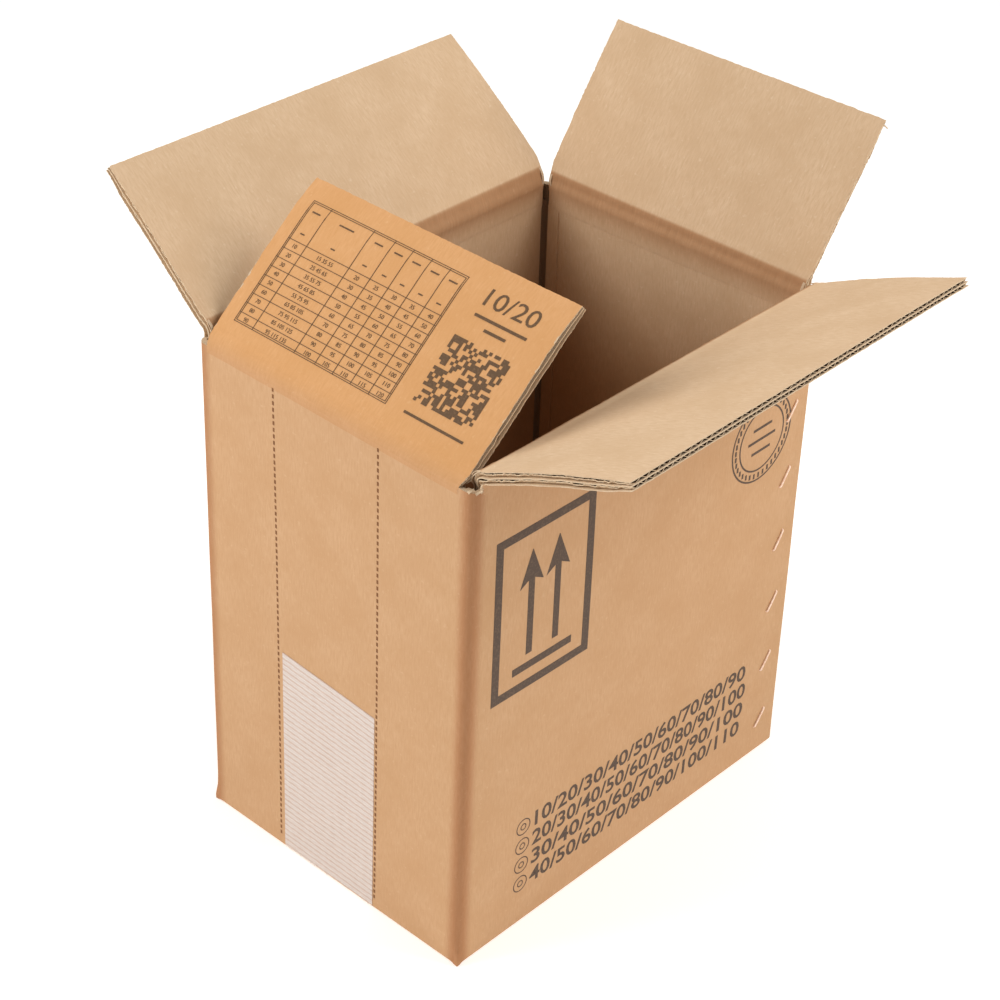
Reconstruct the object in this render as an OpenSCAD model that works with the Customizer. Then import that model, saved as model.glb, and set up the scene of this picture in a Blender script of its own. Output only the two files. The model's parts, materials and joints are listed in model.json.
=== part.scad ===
// Shipping box for dangerous goods: a slotted carton of double-wall corrugated board.
// The bottom is closed and taped, the four top flaps stand open on their creases.
// Frame: origin at the centre of the base, +X along the long walls, +Z up.

/* [Box] */
// Length outside, along the long walls
box_length = 289; // [220:1:500]
// Width outside, along the end walls
box_width = 209; // [180:1:400]
// Height of the end flaps' creases above the base
end_crease_z = 329; // [200:1:500]
// How much higher the long flaps' creases lie
crease_step = 1; // [0:0.5:7]
// Outer radius of the upright folds
corner_radius = 5.5; // [3:0.5:7]
// Outer radius of the folds along the base
base_radius = 3; // [2:0.5:6]

/* [Board] */
// Thickness of the double-wall board
board_t = 7; // [6:0.25:8]
// Thickness of each of its three liners
liner_t = 0.6; // [0.4:0.1:0.8]
// Thickness of the wavy sheet between two liners
medium_t = 0.55; // [0.4:0.05:0.8]
// Height of the coarse flutes, on the inner side
coarse_height = 3; // [2.5:0.1:3.4]
// Pitch of the coarse flutes
coarse_pitch = 7.9; // [7:0.1:9]
// Pitch of the fine flutes, on the outer side
fine_pitch = 6.5; // [5.5:0.1:7]

/* [Top flaps] */
// Length of every flap, from its crease to its free edge
flap_length = 105.5; // [60:0.5:110]
// Distance of a long flap's side edges from the end walls' outer faces
long_flap_inset = 4.3; // [3:0.1:8]
// Clearance of an end flap's side edges from the long walls' inner faces
end_flap_clearance = 0.3; // [0.2:0.1:2]
// Length of the crushed board beside a crease, where the flutes are closed
crush_length = 14; // [11:0.5:20]
// How far outside the board's face a flap turns
hinge_offset = 0.2; // [0.1:0.05:0.4]
// Gap left at a crease
crease_gap = 0.2; // [0.15:0.05:0.3]
// How deep the inner edge of a crease is pressed
crease_press = 2; // [0:0.5:4]

/* [Rest angles] */
// Printed end flap, measured outwards from upright
printed_end_angle = -48; // [-85:1:160]
// Plain end flap
plain_end_angle = 32; // [-30:1:160]
// Front long flap
front_long_angle = 66; // [0:1:160]
// Back long flap
back_long_angle = 51; // [0:1:160]

/* [Bottom] */
// Gap between the two outer bottom flaps, under the tape
seam_gap = 1; // [0.5:0.5:4]
// Length of the inner bottom flaps
inner_bottom_flap = 104; // [60:1:105]

/* [Closure tape] */
// Width of the tape
tape_w = 75; // [40:1:100]
// Thickness of the tape
tape_t = 0.3; // [0.2:0.05:0.5]
// Height of the tape's ends above the base
tape_top = 145; // [60:1:160]
// Sideways place of the tape's middle
tape_shift = 2.5; // [-10:0.5:10]
// How much the tape's cut ends slope across its width
tape_skew = 5; // [0:0.5:10]

/* [Wire stitches] */
// Width of the inner tab that the stitches hold
tab_w = 38; // [32:1:60]
// Number of stitches
stitch_count = 7; // [3:1:7]
// Height of the lowest stitch's middle
stitch_first_z = 28; // [25:1:50]
// Spacing of the stitches
stitch_pitch = 46; // [20:1:46]
// Distance from the corner to the middle of a stitch
stitch_inset = 13; // [12.5:0.5:20]
// Length of a stitch between its legs
stitch_span = 14.5; // [8:0.5:15]
// Slope of a stitch from level
stitch_angle = 53; // [45:1:75]
// Width of the flat wire
wire_w = 2; // [1:0.1:2.5]
// Thickness of the flat wire
wire_t = 0.8; // [0.5:0.05:1]
// Length of each bent-over end inside
clinch_length = 5; // [3:0.5:5]

/* [Hidden] */
$fn = 48;

kraft = "#D9A97D";
kraft_inner = "#DAB88F";
tape_white = "#E6D3C6";
copper = "#C98A5A";

half_l = box_length / 2;
half_w = box_width / 2;
long_crease_z = end_crease_z + crease_step;
fine_height = board_t - 3 * liner_t - coarse_height;
hinge_inner = hinge_offset + board_t;
mitre_knee = hinge_offset + board_t / 2;
inner_fold_radius = 1.5;
seat_gap = 0.05;
tape_bed = tape_t + seat_gap;
long_flap_w = box_length - 2 * long_flap_inset;
end_flap_w = box_width - 2 * (board_t + end_flap_clearance);
// Overlap of cutting shapes past what they cut
past = 1;

// Square corner less its round: what is cut from an edge to round it, corner at the origin
module corner_waste(radius) {
    difference() {
        translate([-past, -past]) square(radius + past);
        translate([radius, radius]) circle(radius);
    }
}

// Section of the four walls seen from above, with the front wall lapped over the tab
module wall_section() {
    difference() {
        translate([-half_l, -half_w]) square([box_length, box_width]);
        translate([-half_l, -half_w]) corner_waste(corner_radius);
        translate([-half_l, half_w]) mirror([0, 1]) corner_waste(corner_radius);
        translate([half_l, half_w]) rotate(180) corner_waste(corner_radius);
        tab_fold_groove();
        inner_section();
    }
}

// Groove where the end wall folds in behind the front wall's cut edge
module tab_fold_groove() {
    fold_radius = corner_radius - past;
    translate([half_l, board_t - half_w]) intersection() {
        mirror([1, 0]) corner_waste(fold_radius);
        translate([-fold_radius, 0]) square(fold_radius + past);
    }
}

// Space between the walls seen from above
module inner_section() {
    inner_l = box_length - 2 * board_t;
    inner_w = box_width - 2 * board_t;
    difference() {
        translate([-inner_l / 2, -inner_w / 2]) square([inner_l, inner_w]);
        for (sx = [0, 1], sy = [0, 1])
            mirror([sx, 0]) mirror([0, sy]) translate([-inner_l / 2, -inner_w / 2])
                corner_waste(inner_fold_radius);
    }
}

// Turns a profile drawn as depth and height into a bar of the given length along X, centred
module bar_x(length) {
    translate([-length / 2, 0, 0]) rotate([90, 0, 90]) linear_extrude(length) children();
}

// What a crease takes off the top of a wall, drawn from the hinge line
module wall_crease_waste() {
    polygon([
        [-past, past],
        [-past, -hinge_offset - crease_gap],
        [hinge_offset, -hinge_offset - crease_gap],
        [mitre_knee, -mitre_knee - crease_gap],
        [hinge_inner, -hinge_inner - crease_gap - crease_press],
        [hinge_inner + past, -hinge_inner - crease_gap - crease_press],
        [hinge_inner + past, past]
    ]);
}

// Moves a shape drawn at the hinge line of the front wall to a wall of the box
module at_front() { translate([0, -half_w - hinge_offset, long_crease_z]) children(); }
module at_back() { rotate(180) at_front() children(); }
module at_printed_end() { rotate(-90) translate([0, -half_l - hinge_offset, end_crease_z]) children(); }
module at_plain_end() { rotate(180) at_printed_end() children(); }

// The two inner and two outer bottom flaps, closed
module bottom_flaps() {
    outer_bottom_flap = half_w - seam_gap / 2;
    between_walls = box_width - 2 * board_t;
    for (side = [0, 1]) {
        mirror([0, side, 0]) translate([-long_flap_w / 2, -half_w, 0])
            cube([long_flap_w, outer_bottom_flap, board_t]);
        mirror([side, 0, 0]) translate([-half_l, -(between_walls + past) / 2, board_t])
            cube([inner_bottom_flap, between_walls + past, board_t]);
    }
}

// Tab of the plain end wall, folded in behind the front wall
module joint_tab() {
    tab_top = end_crease_z - hinge_inner - crease_press;
    translate([half_l - board_t - tab_w, board_t - half_w - past / 2, board_t])
        cube([tab_w + board_t / 2, board_t + past / 2, tab_top - board_t]);
}

// Rounds the folds along the base; an end wall's fold stops short of the long walls' tips
module base_waste() {
    for (side = [0, 1]) {
        mirror([0, side, 0]) translate([0, -half_w, 0]) bar_x(box_length + 2 * past)
            corner_waste(base_radius);
        mirror([side, 0, 0]) rotate(-90) translate([0, -half_l, 0])
            bar_x(box_width - 2 * long_flap_inset) corner_waste(base_radius);
    }
}

// Outline of the carton seen from the front, as the tape meets it, grown by a thickness
module taped_outline(grow) {
    straight = half_l - base_radius;
    translate([-half_l - grow, tape_bed + base_radius]) square([box_length + 2 * grow, tape_top]);
    translate([-straight, tape_bed - grow]) square([2 * straight, tape_top]);
    for (side = [-1, 1])
        translate([side * straight, tape_bed + base_radius]) circle(base_radius + grow);
}

// Stands a shape drawn as length and height up across the tape, with its middle on the tape's
module across_tape(width) {
    translate([0, tape_shift + width / 2, 0]) rotate([90, 0, 0]) linear_extrude(width) children();
}

// Board pressed in under the tape, so that the base still stands flat
module tape_bed_waste() {
    across_tape(tape_w + 4 * seat_gap) difference() {
        translate([-half_l - past, -past]) square([box_length + 2 * past, base_radius + tape_bed + past]);
        taped_outline(0);
    }
}

// Puts a shape drawn about the middle of a stitch at each stitch, level with the front face
module at_stitches() {
    for (i = [0:stitch_count - 1])
        translate([half_l - stitch_inset, -half_w, stitch_first_z + i * stitch_pitch])
            rotate([0, -stitch_angle, 0]) children();
}

// Slits that the two legs of a stitch pass through
module stitch_slits() {
    for (side = [-1, 1])
        translate([side * stitch_span / 2 - wire_t / 2 - seat_gap, -past, -wire_w / 2 - seat_gap])
            cube([wire_t + 2 * seat_gap, 2 * board_t + 2 * past, wire_w + 2 * seat_gap]);
}

// One folded blank: walls, closed bottom and inner tab
module box_body() {
    color(kraft) difference() {
        union() {
            linear_extrude(long_crease_z) wall_section();
            bottom_flaps();
            joint_tab();
        }
        base_waste();
        tape_bed_waste();
        at_stitches() stitch_slits();
        at_front() bar_x(box_length + 2 * past) wall_crease_waste();
        at_back() bar_x(box_length + 2 * past) wall_crease_waste();
        at_printed_end() bar_x(box_width + 2 * past) wall_crease_waste();
        at_plain_end() bar_x(box_width + 2 * past) wall_crease_waste();
    }
}

// One row of open flutes in a board's cut edge, standing on the line y = 0
module flute_row(width, pitch, height) {
    half_base = pitch / 2 - medium_t;
    apex = height * half_base / (pitch / 2);
    count = floor((width - pitch) / pitch);
    for (i = [0:count - 1]) {
        x = (i - count / 2 + 0.25) * pitch;
        translate([x, 0]) polygon([[-half_base, 0], [half_base, 0], [0, apex]]);
        translate([x + pitch / 2, height]) polygon([[-half_base, 0], [half_base, 0], [0, -apex]]);
    }
}

// Cut edge of the board: three liners with two rows of flutes between them
module board_section(width) {
    difference() {
        translate([-width / 2, hinge_offset]) square([width, board_t]);
        translate([0, hinge_offset + liner_t]) flute_row(width, fine_pitch, fine_height);
        translate([0, hinge_inner - liner_t - coarse_height]) flute_row(width, coarse_pitch, coarse_height);
    }
}

// One flap, upright on its hinge line: crushed root, then open flutes up to the free edge
module flap(width) {
    bar_x(width) polygon([
        [hinge_offset, hinge_offset + crease_gap],
        [mitre_knee, mitre_knee + crease_gap],
        [hinge_inner, hinge_inner + crease_gap + crease_press],
        [hinge_inner, crush_length],
        [hinge_offset, crush_length]
    ]);
    translate([0, 0, crush_length]) linear_extrude(flap_length - crush_length) board_section(width);
}

module printed_end_flap() {
    color("#EAB377") at_printed_end() rotate([printed_end_angle, 0, 0]) flap(end_flap_w);
}

module plain_end_flap() {
    color(kraft_inner) at_plain_end() rotate([plain_end_angle, 0, 0]) flap(end_flap_w);
}

module front_long_flap() {
    color(kraft_inner) at_front() rotate([front_long_angle, 0, 0]) flap(long_flap_w);
}

module back_long_flap() {
    color(kraft_inner) at_back() rotate([back_long_angle, 0, 0]) flap(long_flap_w);
}

// Tape along the seam, up both end walls
module closure_tape() {
    color(tape_white) intersection() {
        across_tape(tape_w) difference() {
            taped_outline(tape_t + seat_gap);
            taped_outline(seat_gap);
        }
        for (side = [0, 1]) mirror([side, 0, 0]) rotate([90, 0, -90])
            linear_extrude(half_l + past) polygon([
                [-half_w, -past],
                [half_w, -past],
                [half_w, tape_top + tape_skew / 2],
                [-half_w, tape_top - tape_skew / 2]
            ]);
    }
}

// One stitch: crown on the face, legs through wall and tab, ends bent over inside
module stitch() {
    inside = 2 * board_t + seat_gap;
    crown = stitch_span + wire_t;
    translate([-crown / 2, -seat_gap - wire_t, -wire_w / 2]) cube([crown, wire_t, wire_w]);
    for (side = [0, 1]) mirror([side, 0, 0]) {
        translate([stitch_span / 2 - wire_t / 2, -seat_gap - wire_t, -wire_w / 2])
            cube([wire_t, inside + seat_gap + 2 * wire_t, wire_w]);
        translate([stitch_span / 2 + wire_t / 2 - clinch_length, inside, -wire_w / 2])
            cube([clinch_length, wire_t, wire_w]);
    }
}

module wire_stitches() {
    color(copper) at_stitches() stitch();
}

box_body();
printed_end_flap();
plain_end_flap();
front_long_flap();
back_long_flap();
closure_tape();
wire_stitches();
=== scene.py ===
"""Looks of a slotted carton for dangerous goods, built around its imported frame.

The carton is double-wall corrugated board: kraft liners outside, paler liners inside and
two layers of flutes between them, which show in every cut edge. Its bottom is taped, its
corner joint is stitched with coppered wire, and its four top flaps stand open.
"""

from __future__ import annotations

import json
import logging
import math
import random
from collections.abc import Callable
from dataclasses import dataclass, field
from enum import Enum

import bpy
from mathutils import Matrix, Vector, noise


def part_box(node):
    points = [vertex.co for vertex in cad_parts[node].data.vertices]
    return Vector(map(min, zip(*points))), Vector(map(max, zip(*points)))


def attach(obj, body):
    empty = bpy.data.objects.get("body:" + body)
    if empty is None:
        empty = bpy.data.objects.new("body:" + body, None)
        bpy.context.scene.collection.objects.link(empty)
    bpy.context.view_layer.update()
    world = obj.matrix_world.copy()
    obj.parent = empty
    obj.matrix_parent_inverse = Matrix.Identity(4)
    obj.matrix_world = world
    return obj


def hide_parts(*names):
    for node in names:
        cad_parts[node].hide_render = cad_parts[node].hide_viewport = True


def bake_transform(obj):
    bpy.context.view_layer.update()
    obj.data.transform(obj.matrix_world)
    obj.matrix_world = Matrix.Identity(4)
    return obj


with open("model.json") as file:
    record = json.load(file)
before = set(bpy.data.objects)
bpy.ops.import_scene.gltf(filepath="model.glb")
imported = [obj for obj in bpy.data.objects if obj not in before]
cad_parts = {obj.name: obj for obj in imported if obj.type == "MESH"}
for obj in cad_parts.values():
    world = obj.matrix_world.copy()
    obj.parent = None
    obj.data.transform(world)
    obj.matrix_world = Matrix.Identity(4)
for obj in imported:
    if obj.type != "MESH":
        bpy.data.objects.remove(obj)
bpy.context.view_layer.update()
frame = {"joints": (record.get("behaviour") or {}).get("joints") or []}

log = logging.getLogger("carton")
MM = 0.001
UP = Vector((0, 0, 1))
INK_LIFT = 0.06 * MM
INK_THICKNESS = 0.05 * MM
# The flaps' outer liner stands a little proud, so their ink lies further out.
FLAP_INK_LIFT = 0.18 * MM


class Side(Enum):
    """Wall of the box, by the direction that it faces."""

    FRONT = "-Y"
    BACK = "+Y"
    PRINTED_END = "-X"
    PLAIN_END = "+X"


# Small helpers for colours, nodes and modelling


def linear(code: str) -> tuple[float, float, float, float]:
    """Turns an sRGB hex colour into linear values.

    Args:
        code: The colour, such as "#D9A97D".

    Returns:
        Red, green, blue and an alpha of one.
    """
    shades = [int(code[i:i + 2], 16) / 255 for i in (1, 3, 5)]
    turned = [s / 12.92 if s <= 0.04045 else ((s + 0.055) / 1.055) ** 2.4 for s in shades]
    return (turned[0], turned[1], turned[2], 1.0)


def add_node(
        material: bpy.types.Material, kind: str, inputs: dict | None = None, **settings) -> bpy.types.Node:
    """Adds a node to a material.

    Args:
        material: The material that gets the node.
        kind: The node's type name.
        inputs: Value or socket to link for each input, by name or number.
        **settings: Attributes of the node itself.

    Returns:
        The new node.
    """
    tree = material.node_tree
    node = tree.nodes.new(kind)
    for name, value in settings.items():
        setattr(node, name, value)
    for name, value in (inputs or {}).items():
        if isinstance(value, bpy.types.NodeSocket):
            tree.links.new(value, node.inputs[name])
        else:
            node.inputs[name].default_value = value
    return node


def ramp(
        material: bpy.types.Material, value: bpy.types.NodeSocket, low: float, high: float,
        soft: bool = False) -> bpy.types.NodeSocket:
    """Spreads a value between two limits, the first of which may be the greater.

    Args:
        material: The material.
        value: The value's socket.
        low: Value that becomes nought.
        high: Value that becomes one.
        soft: Whether it eases in and out.

    Returns:
        The spread value's socket.
    """
    settings = {"interpolation_type": "SMOOTHSTEP"} if soft else {}
    inputs = {"Value": value, "From Min": low, "From Max": high}
    return add_node(material, "ShaderNodeMapRange", inputs, **settings).outputs[0]


def mix(material: bpy.types.Material, share, first, second, blend: str = "MIX") -> bpy.types.NodeSocket:
    """Mixes two colours.

    Args:
        material: The material.
        share: Share of the second colour, a socket or a value.
        first: Colour socket or value.
        second: Colour socket or value.
        blend: Way of mixing.

    Returns:
        The mixed colour's socket.
    """
    inputs = {0: share, 6: first, 7: second}
    return add_node(material, "ShaderNodeMix", inputs, data_type="RGBA", blend_type=blend).outputs[2]


def calculate(material: bpy.types.Material, operation: str, *values) -> bpy.types.NodeSocket:
    """Works out one number from others, each a socket or a value."""
    return add_node(material, "ShaderNodeMath", dict(enumerate(values)), operation=operation).outputs[0]


def add_noise(
        material: bpy.types.Material, place: bpy.types.NodeSocket, size: float, detail: float,
        roughness: float = 0.5) -> bpy.types.NodeSocket:
    """Adds a noise whose grain has a real size, and returns its value's socket."""
    inputs = {"Vector": place, "Scale": 1 / size, "Detail": detail, "Roughness": roughness}
    return add_node(material, "ShaderNodeTexNoise", inputs).outputs["Fac"]


def add_waves(
        material: bpy.types.Material, place: bpy.types.NodeSocket, way: str, pitch: float,
        distortion: float, detail: float, detail_scale: float) -> bpy.types.NodeSocket:
    """Adds straight waves of a real pitch, and returns their value's socket."""
    inputs = {"Vector": place, "Scale": math.pi / (10 * pitch), "Distortion": distortion,
              "Detail": detail, "Detail Scale": detail_scale}
    node = add_node(material, "ShaderNodeTexWave", inputs, wave_type="BANDS", bands_direction=way)
    return node.outputs["Fac"]


def add_bump(material: bpy.types.Material, height, strength: float, distance: float) -> bpy.types.NodeSocket:
    """Turns a height into a relief of a real depth, and returns its normal's socket."""
    inputs = {"Height": height, "Strength": strength, "Distance": distance}
    return add_node(material, "ShaderNodeBump", inputs).outputs[0]


def start_material(name: str) -> bpy.types.Material:
    """Makes an empty node material.

    Args:
        name: The finish's plain name.

    Returns:
        The material, with no nodes.
    """
    material = bpy.data.materials.new(name)
    material.use_nodes = True
    material.node_tree.nodes.clear()
    return material


def finish_material(
        material: bpy.types.Material, colour, roughness, normal, **constants) -> bpy.types.Material:
    """Closes a material with its shader and output.

    Args:
        material: The material.
        colour: Colour socket or value.
        roughness: Roughness socket or value.
        normal: Normal socket, or None.
        **constants: Further shader inputs, with spaces written as underscores.

    Returns:
        The same material.
    """
    inputs = {"Base Color": colour, "Roughness": roughness}
    if normal is not None:
        inputs["Normal"] = normal
    for name, value in constants.items():
        inputs[name.replace("_", " ")] = value
    shader = add_node(material, "ShaderNodeBsdfPrincipled", inputs)
    add_node(material, "ShaderNodeOutputMaterial", {"Surface": shader.outputs["BSDF"]})
    return material


def deselect() -> None:
    """Clears the selection, in object mode."""
    if bpy.context.object and bpy.context.object.mode != "OBJECT":
        bpy.ops.object.mode_set(mode="OBJECT")
    bpy.ops.object.select_all(action="DESELECT")


def pick(*pieces: bpy.types.Object) -> None:
    """Selects only these pieces and makes the first one active."""
    deselect()
    for piece in pieces:
        piece.select_set(True)
    bpy.context.view_layer.objects.active = pieces[0]


def settle(piece: bpy.types.Object) -> bpy.types.Object:
    """Applies a piece's place, turn and scale to its mesh."""
    pick(piece)
    bpy.ops.object.transform_apply(location=True, rotation=True, scale=True)
    return piece


def join(name: str, pieces: list[bpy.types.Object]) -> bpy.types.Object:
    """Joins pieces into one.

    Args:
        name: Name of the result.
        pieces: What is joined.

    Returns:
        The joined piece.
    """
    pick(*pieces)
    if len(pieces) > 1:
        bpy.ops.object.join()
    piece = bpy.context.object
    piece.name = name
    return piece


def apply_modifier(piece: bpy.types.Object, kind: str, **settings) -> None:
    """Adds a modifier and applies it at once.

    Args:
        piece: The piece to change.
        kind: The modifier's type name.
        **settings: Its settings.
    """
    pick(piece)
    modifier = piece.modifiers.new(kind.lower(), kind)
    for name, value in settings.items():
        setattr(modifier, name, value)
    bpy.ops.object.modifier_apply(modifier=modifier.name)


def tidy_shell(piece: bpy.types.Object, angle: float = 35.0) -> None:
    """Points a closed mesh's faces outwards and smooths its shading.

    Args:
        piece: The piece.
        angle: Edges sharper than this, in degrees, stay sharp.
    """
    pick(piece)
    bpy.ops.object.mode_set(mode="EDIT")
    bpy.ops.mesh.select_all(action="SELECT")
    bpy.ops.mesh.normals_make_consistent(inside=False)
    bpy.ops.object.mode_set(mode="OBJECT")
    bpy.ops.object.shade_smooth_by_angle(angle=math.radians(angle))


def add_box(low: Vector, high: Vector) -> bpy.types.Object:
    """Adds a box between two corners, with its place in its mesh."""
    deselect()
    bpy.ops.mesh.primitive_cube_add(size=1, location=(low + high) / 2)
    bpy.context.object.scale = high - low
    return settle(bpy.context.object)


def add_sheet(columns: int, rows: int) -> bpy.types.Object:
    """Adds a flat sheet one metre square, cut into columns along X and rows along Y."""
    deselect()
    bpy.ops.mesh.primitive_grid_add(x_subdivisions=columns, y_subdivisions=rows, size=1)
    return bpy.context.object


def cut_planes(piece: bpy.types.Object, normal: Vector, spots: list[float]) -> None:
    """Cuts a mesh along parallel planes, so that it can bend there.

    Args:
        piece: The piece to cut.
        normal: Direction across the planes.
        spots: Distance of each plane from the origin.
    """
    pick(piece)
    bpy.ops.object.mode_set(mode="EDIT")
    for spot in spots:
        bpy.ops.mesh.select_all(action="SELECT")
        bpy.ops.mesh.bisect(plane_co=normal * spot, plane_no=normal)
    bpy.ops.object.mode_set(mode="OBJECT")


def start_choice(kind: str) -> None:
    """Readies the active mesh for a choice of its edges or faces that the code makes."""
    bpy.ops.object.mode_set(mode="EDIT")
    bpy.ops.mesh.select_mode(type=kind)
    bpy.ops.mesh.select_all(action="DESELECT")
    bpy.ops.object.mode_set(mode="OBJECT")


def steps(low: float, high: float, count: int) -> list[float]:
    """Returns the spots that part a stretch into equal lengths, without its ends."""
    return [low + (high - low) * i / count for i in range(1, count)]


def shape(piece: bpy.types.Object, place: Callable[[Vector], Vector]) -> None:
    """Moves every point of a mesh to where a rule puts it."""
    for vertex in piece.data.vertices:
        vertex.co = place(vertex.co.copy())
    piece.data.update()


def dress(piece: bpy.types.Object, *materials: bpy.types.Material) -> None:
    """Gives a piece its materials, in the order of its slots."""
    piece.data.materials.clear()
    for material in materials:
        piece.data.materials.append(material)


def thicken(
        sheet: bpy.types.Object, place: Callable[[Vector], Vector], thickness: float,
        *materials: bpy.types.Material, **settings) -> bpy.types.Object:
    """Shapes a flat sheet, gives it its materials and makes it solid.

    Args:
        sheet: The sheet.
        place: Finds the new place of each of its points.
        thickness: Its thickness, half of it to each side.
        *materials: Its materials.
        **settings: Further settings of the solid's faces.

    Returns:
        The solid.
    """
    shape(sheet, place)
    dress(sheet, *materials)
    apply_modifier(sheet, "SOLIDIFY", thickness=thickness, offset=0.0, **settings)
    return sheet


def smooth(share: float) -> float:
    """Eases a share between nought and one, and holds it beyond them."""
    share = max(0.0, min(1.0, share))
    return share * share * (3 - 2 * share)


def rough(x: float, y: float, z: float = 0.0) -> float:
    """Returns smooth noise between minus one and one at a place given in millimetres."""
    return noise.noise(Vector((x, y, z)))


# Finishes


@dataclass(frozen=True)
class KraftLiner:
    """Outer or inner paper of the board: unbleached kraft, calendered, matt.

    Long fibres give it a fine cloudy mottle that runs along the flutes, and the flutes
    under it print through as a faint washboard. Heights are those of the map's V, and a
    point belongs to the stitched corner when its X less its Y is above the limit.
    """

    name: str
    colour: str
    shade: str
    fleck: str
    washboard: float
    # Below the foot height the paper fades to this tint: on the printed flap the wall's own colour below the
    # crease, on the inner liner painted shade deepening down the box.
    foot_tint: str = ""
    foot: float = 329 * MM
    foot_fade: float = 8 * MM
    # Painted shade at the crease and on the wall just below it.
    score_tint: str = ""
    score: float = 331.6 * MM
    # Darkening along the upright folds: partly rubbed wear, partly painted shade.
    fold_tint: str = ""
    fold: Vector = Vector((144.5, 104.5, 0)) * MM
    stitched: float = 150 * MM
    flute_pitch: float = 7.2 * MM
    fibre: float = 1.1 * MM
    cloud: float = 30 * MM
    roughness: float = 0.86

    def build(self) -> bpy.types.Material:
        """Returns the finish as a material."""
        material = start_material(self.name)
        uv = add_node(material, "ShaderNodeTexCoord").outputs["UV"]
        along = add_node(material, "ShaderNodeMapping", {"Vector": uv, "Scale": (1.0, 0.16, 1.0)}).outputs[0]
        streak = add_noise(material, along, self.fibre, 4.0, 0.62)
        mottle = add_noise(material, uv, 2.6 * self.fibre, 5.0, 0.6)
        clouds = add_noise(material, uv, self.cloud, 2.0)
        flutes = add_waves(material, uv, "X", self.flute_pitch, 0.6, 1.0, 0.4)
        shade = linear(self.shade)
        colour = mix(material, ramp(material, streak, 0.35, 0.75), linear(self.colour), shade)
        colour = mix(material, ramp(material, clouds, 0.3, 0.9), colour, shade)
        colour = mix(material, ramp(material, mottle, 0.6, 0.85), colour, linear(self.fleck))
        height = add_node(material, "ShaderNodeSeparateXYZ", {"Vector": uv}).outputs["Y"]
        if self.foot_tint:
            colour = self.tint_foot(material, height, colour)
        if self.score_tint:
            colour = self.tint_score(material, height, colour)
        if self.fold_tint:
            colour = self.tint_folds(material, colour)
        relief = calculate(material, "MULTIPLY_ADD", flutes, self.washboard, streak)
        bump = add_bump(material, relief, 0.35, 0.12 * MM)
        return finish_material(material, colour, self.roughness, bump, Specular_IOR_Level=0.25)

    def tint_foot(self, material: bpy.types.Material, height, colour) -> bpy.types.NodeSocket:
        """Fades the paper towards its tint below a height: on the printed flap, the wall's own colour below
        the crease; inside the box, painted shade that deepens down the walls.

        Args:
            material: The material.
            height: Socket of the height along the board.
            colour: Socket of the paper's colour.

        Returns:
            The faded colour's socket.
        """
        share = ramp(material, height, self.foot + self.foot_fade, self.foot - self.foot_fade, soft=True)
        return mix(material, share, colour, linear(self.foot_tint), "MULTIPLY")

    def tint_score(self, material: bpy.types.Material, height, colour) -> bpy.types.NodeSocket:
        """Paints shade into the paper at the crease, from its line down on to the wall below the flap.

        Args:
            material: The material.
            height: Socket of the height along the board.
            colour: Socket of the paper's colour.

        Returns:
            The darkened colour's socket.
        """
        above = ramp(material, height, self.score + 2.4 * MM, self.score + 0.2 * MM, soft=True)
        below = ramp(material, height, self.score - 24 * MM, self.score + 0.5 * MM, soft=True)
        share = calculate(material, "MULTIPLY", above, below)
        return mix(material, share, colour, linear(self.score_tint), "MULTIPLY")

    def tint_folds(self, material: bpy.types.Material, colour) -> bpy.types.NodeSocket:
        """Darkens the paper along the upright folds, all but the stitched corner: partly rubbed wear, partly
        painted shade where the rounded fold turns away from the light.

        Args:
            material: The material.
            colour: Socket of the paper's colour.

        Returns:
            The darkened colour's socket.
        """
        place = add_node(material, "ShaderNodeTexCoord").outputs["Object"]
        size = add_node(material, "ShaderNodeVectorMath", {0: place}, operation="ABSOLUTE").outputs[0]
        gap = add_node(
            material, "ShaderNodeVectorMath", {0: self.fold, 1: size}, operation="SUBTRACT").outputs[0]
        distance = add_node(
            material, "ShaderNodeVectorMath", {0: gap, 1: (1.0, 1.0, 0.0)}, operation="DOT_PRODUCT")
        aside = add_node(
            material, "ShaderNodeVectorMath", {0: place, 1: (1.0, -1.0, 0.0)}, operation="DOT_PRODUCT")
        near_fold_wear_and_shade = ramp(material, distance.outputs["Value"], 12 * MM, 3.5 * MM, soft=True)
        folded = calculate(material, "LESS_THAN", aside.outputs["Value"], self.stitched)
        share = calculate(material, "MULTIPLY", near_fold_wear_and_shade, folded)
        return mix(material, share, colour, linear(self.fold_tint), "MULTIPLY")


@dataclass(frozen=True)
class CutBoard:
    """Raw edge of liners and flutes: torn fibre, lighter and rougher than the faces."""

    name: str = "cut_board"
    colour: str = "#E4CDB0"
    shade: str = "#C4A580"
    fibre: float = 0.5 * MM
    roughness: float = 0.95

    def build(self) -> bpy.types.Material:
        """Returns the finish as a material."""
        material = start_material(self.name)
        place = add_node(material, "ShaderNodeTexCoord").outputs["Object"]
        fuzz = add_noise(material, place, self.fibre, 4.0, 0.7)
        colour = mix(material, ramp(material, fuzz, 0.3, 0.75), linear(self.colour), linear(self.shade))
        bump = add_bump(material, fuzz, 0.7, 0.2 * MM)
        return finish_material(material, colour, self.roughness, bump, Specular_IOR_Level=0.2)


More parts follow.
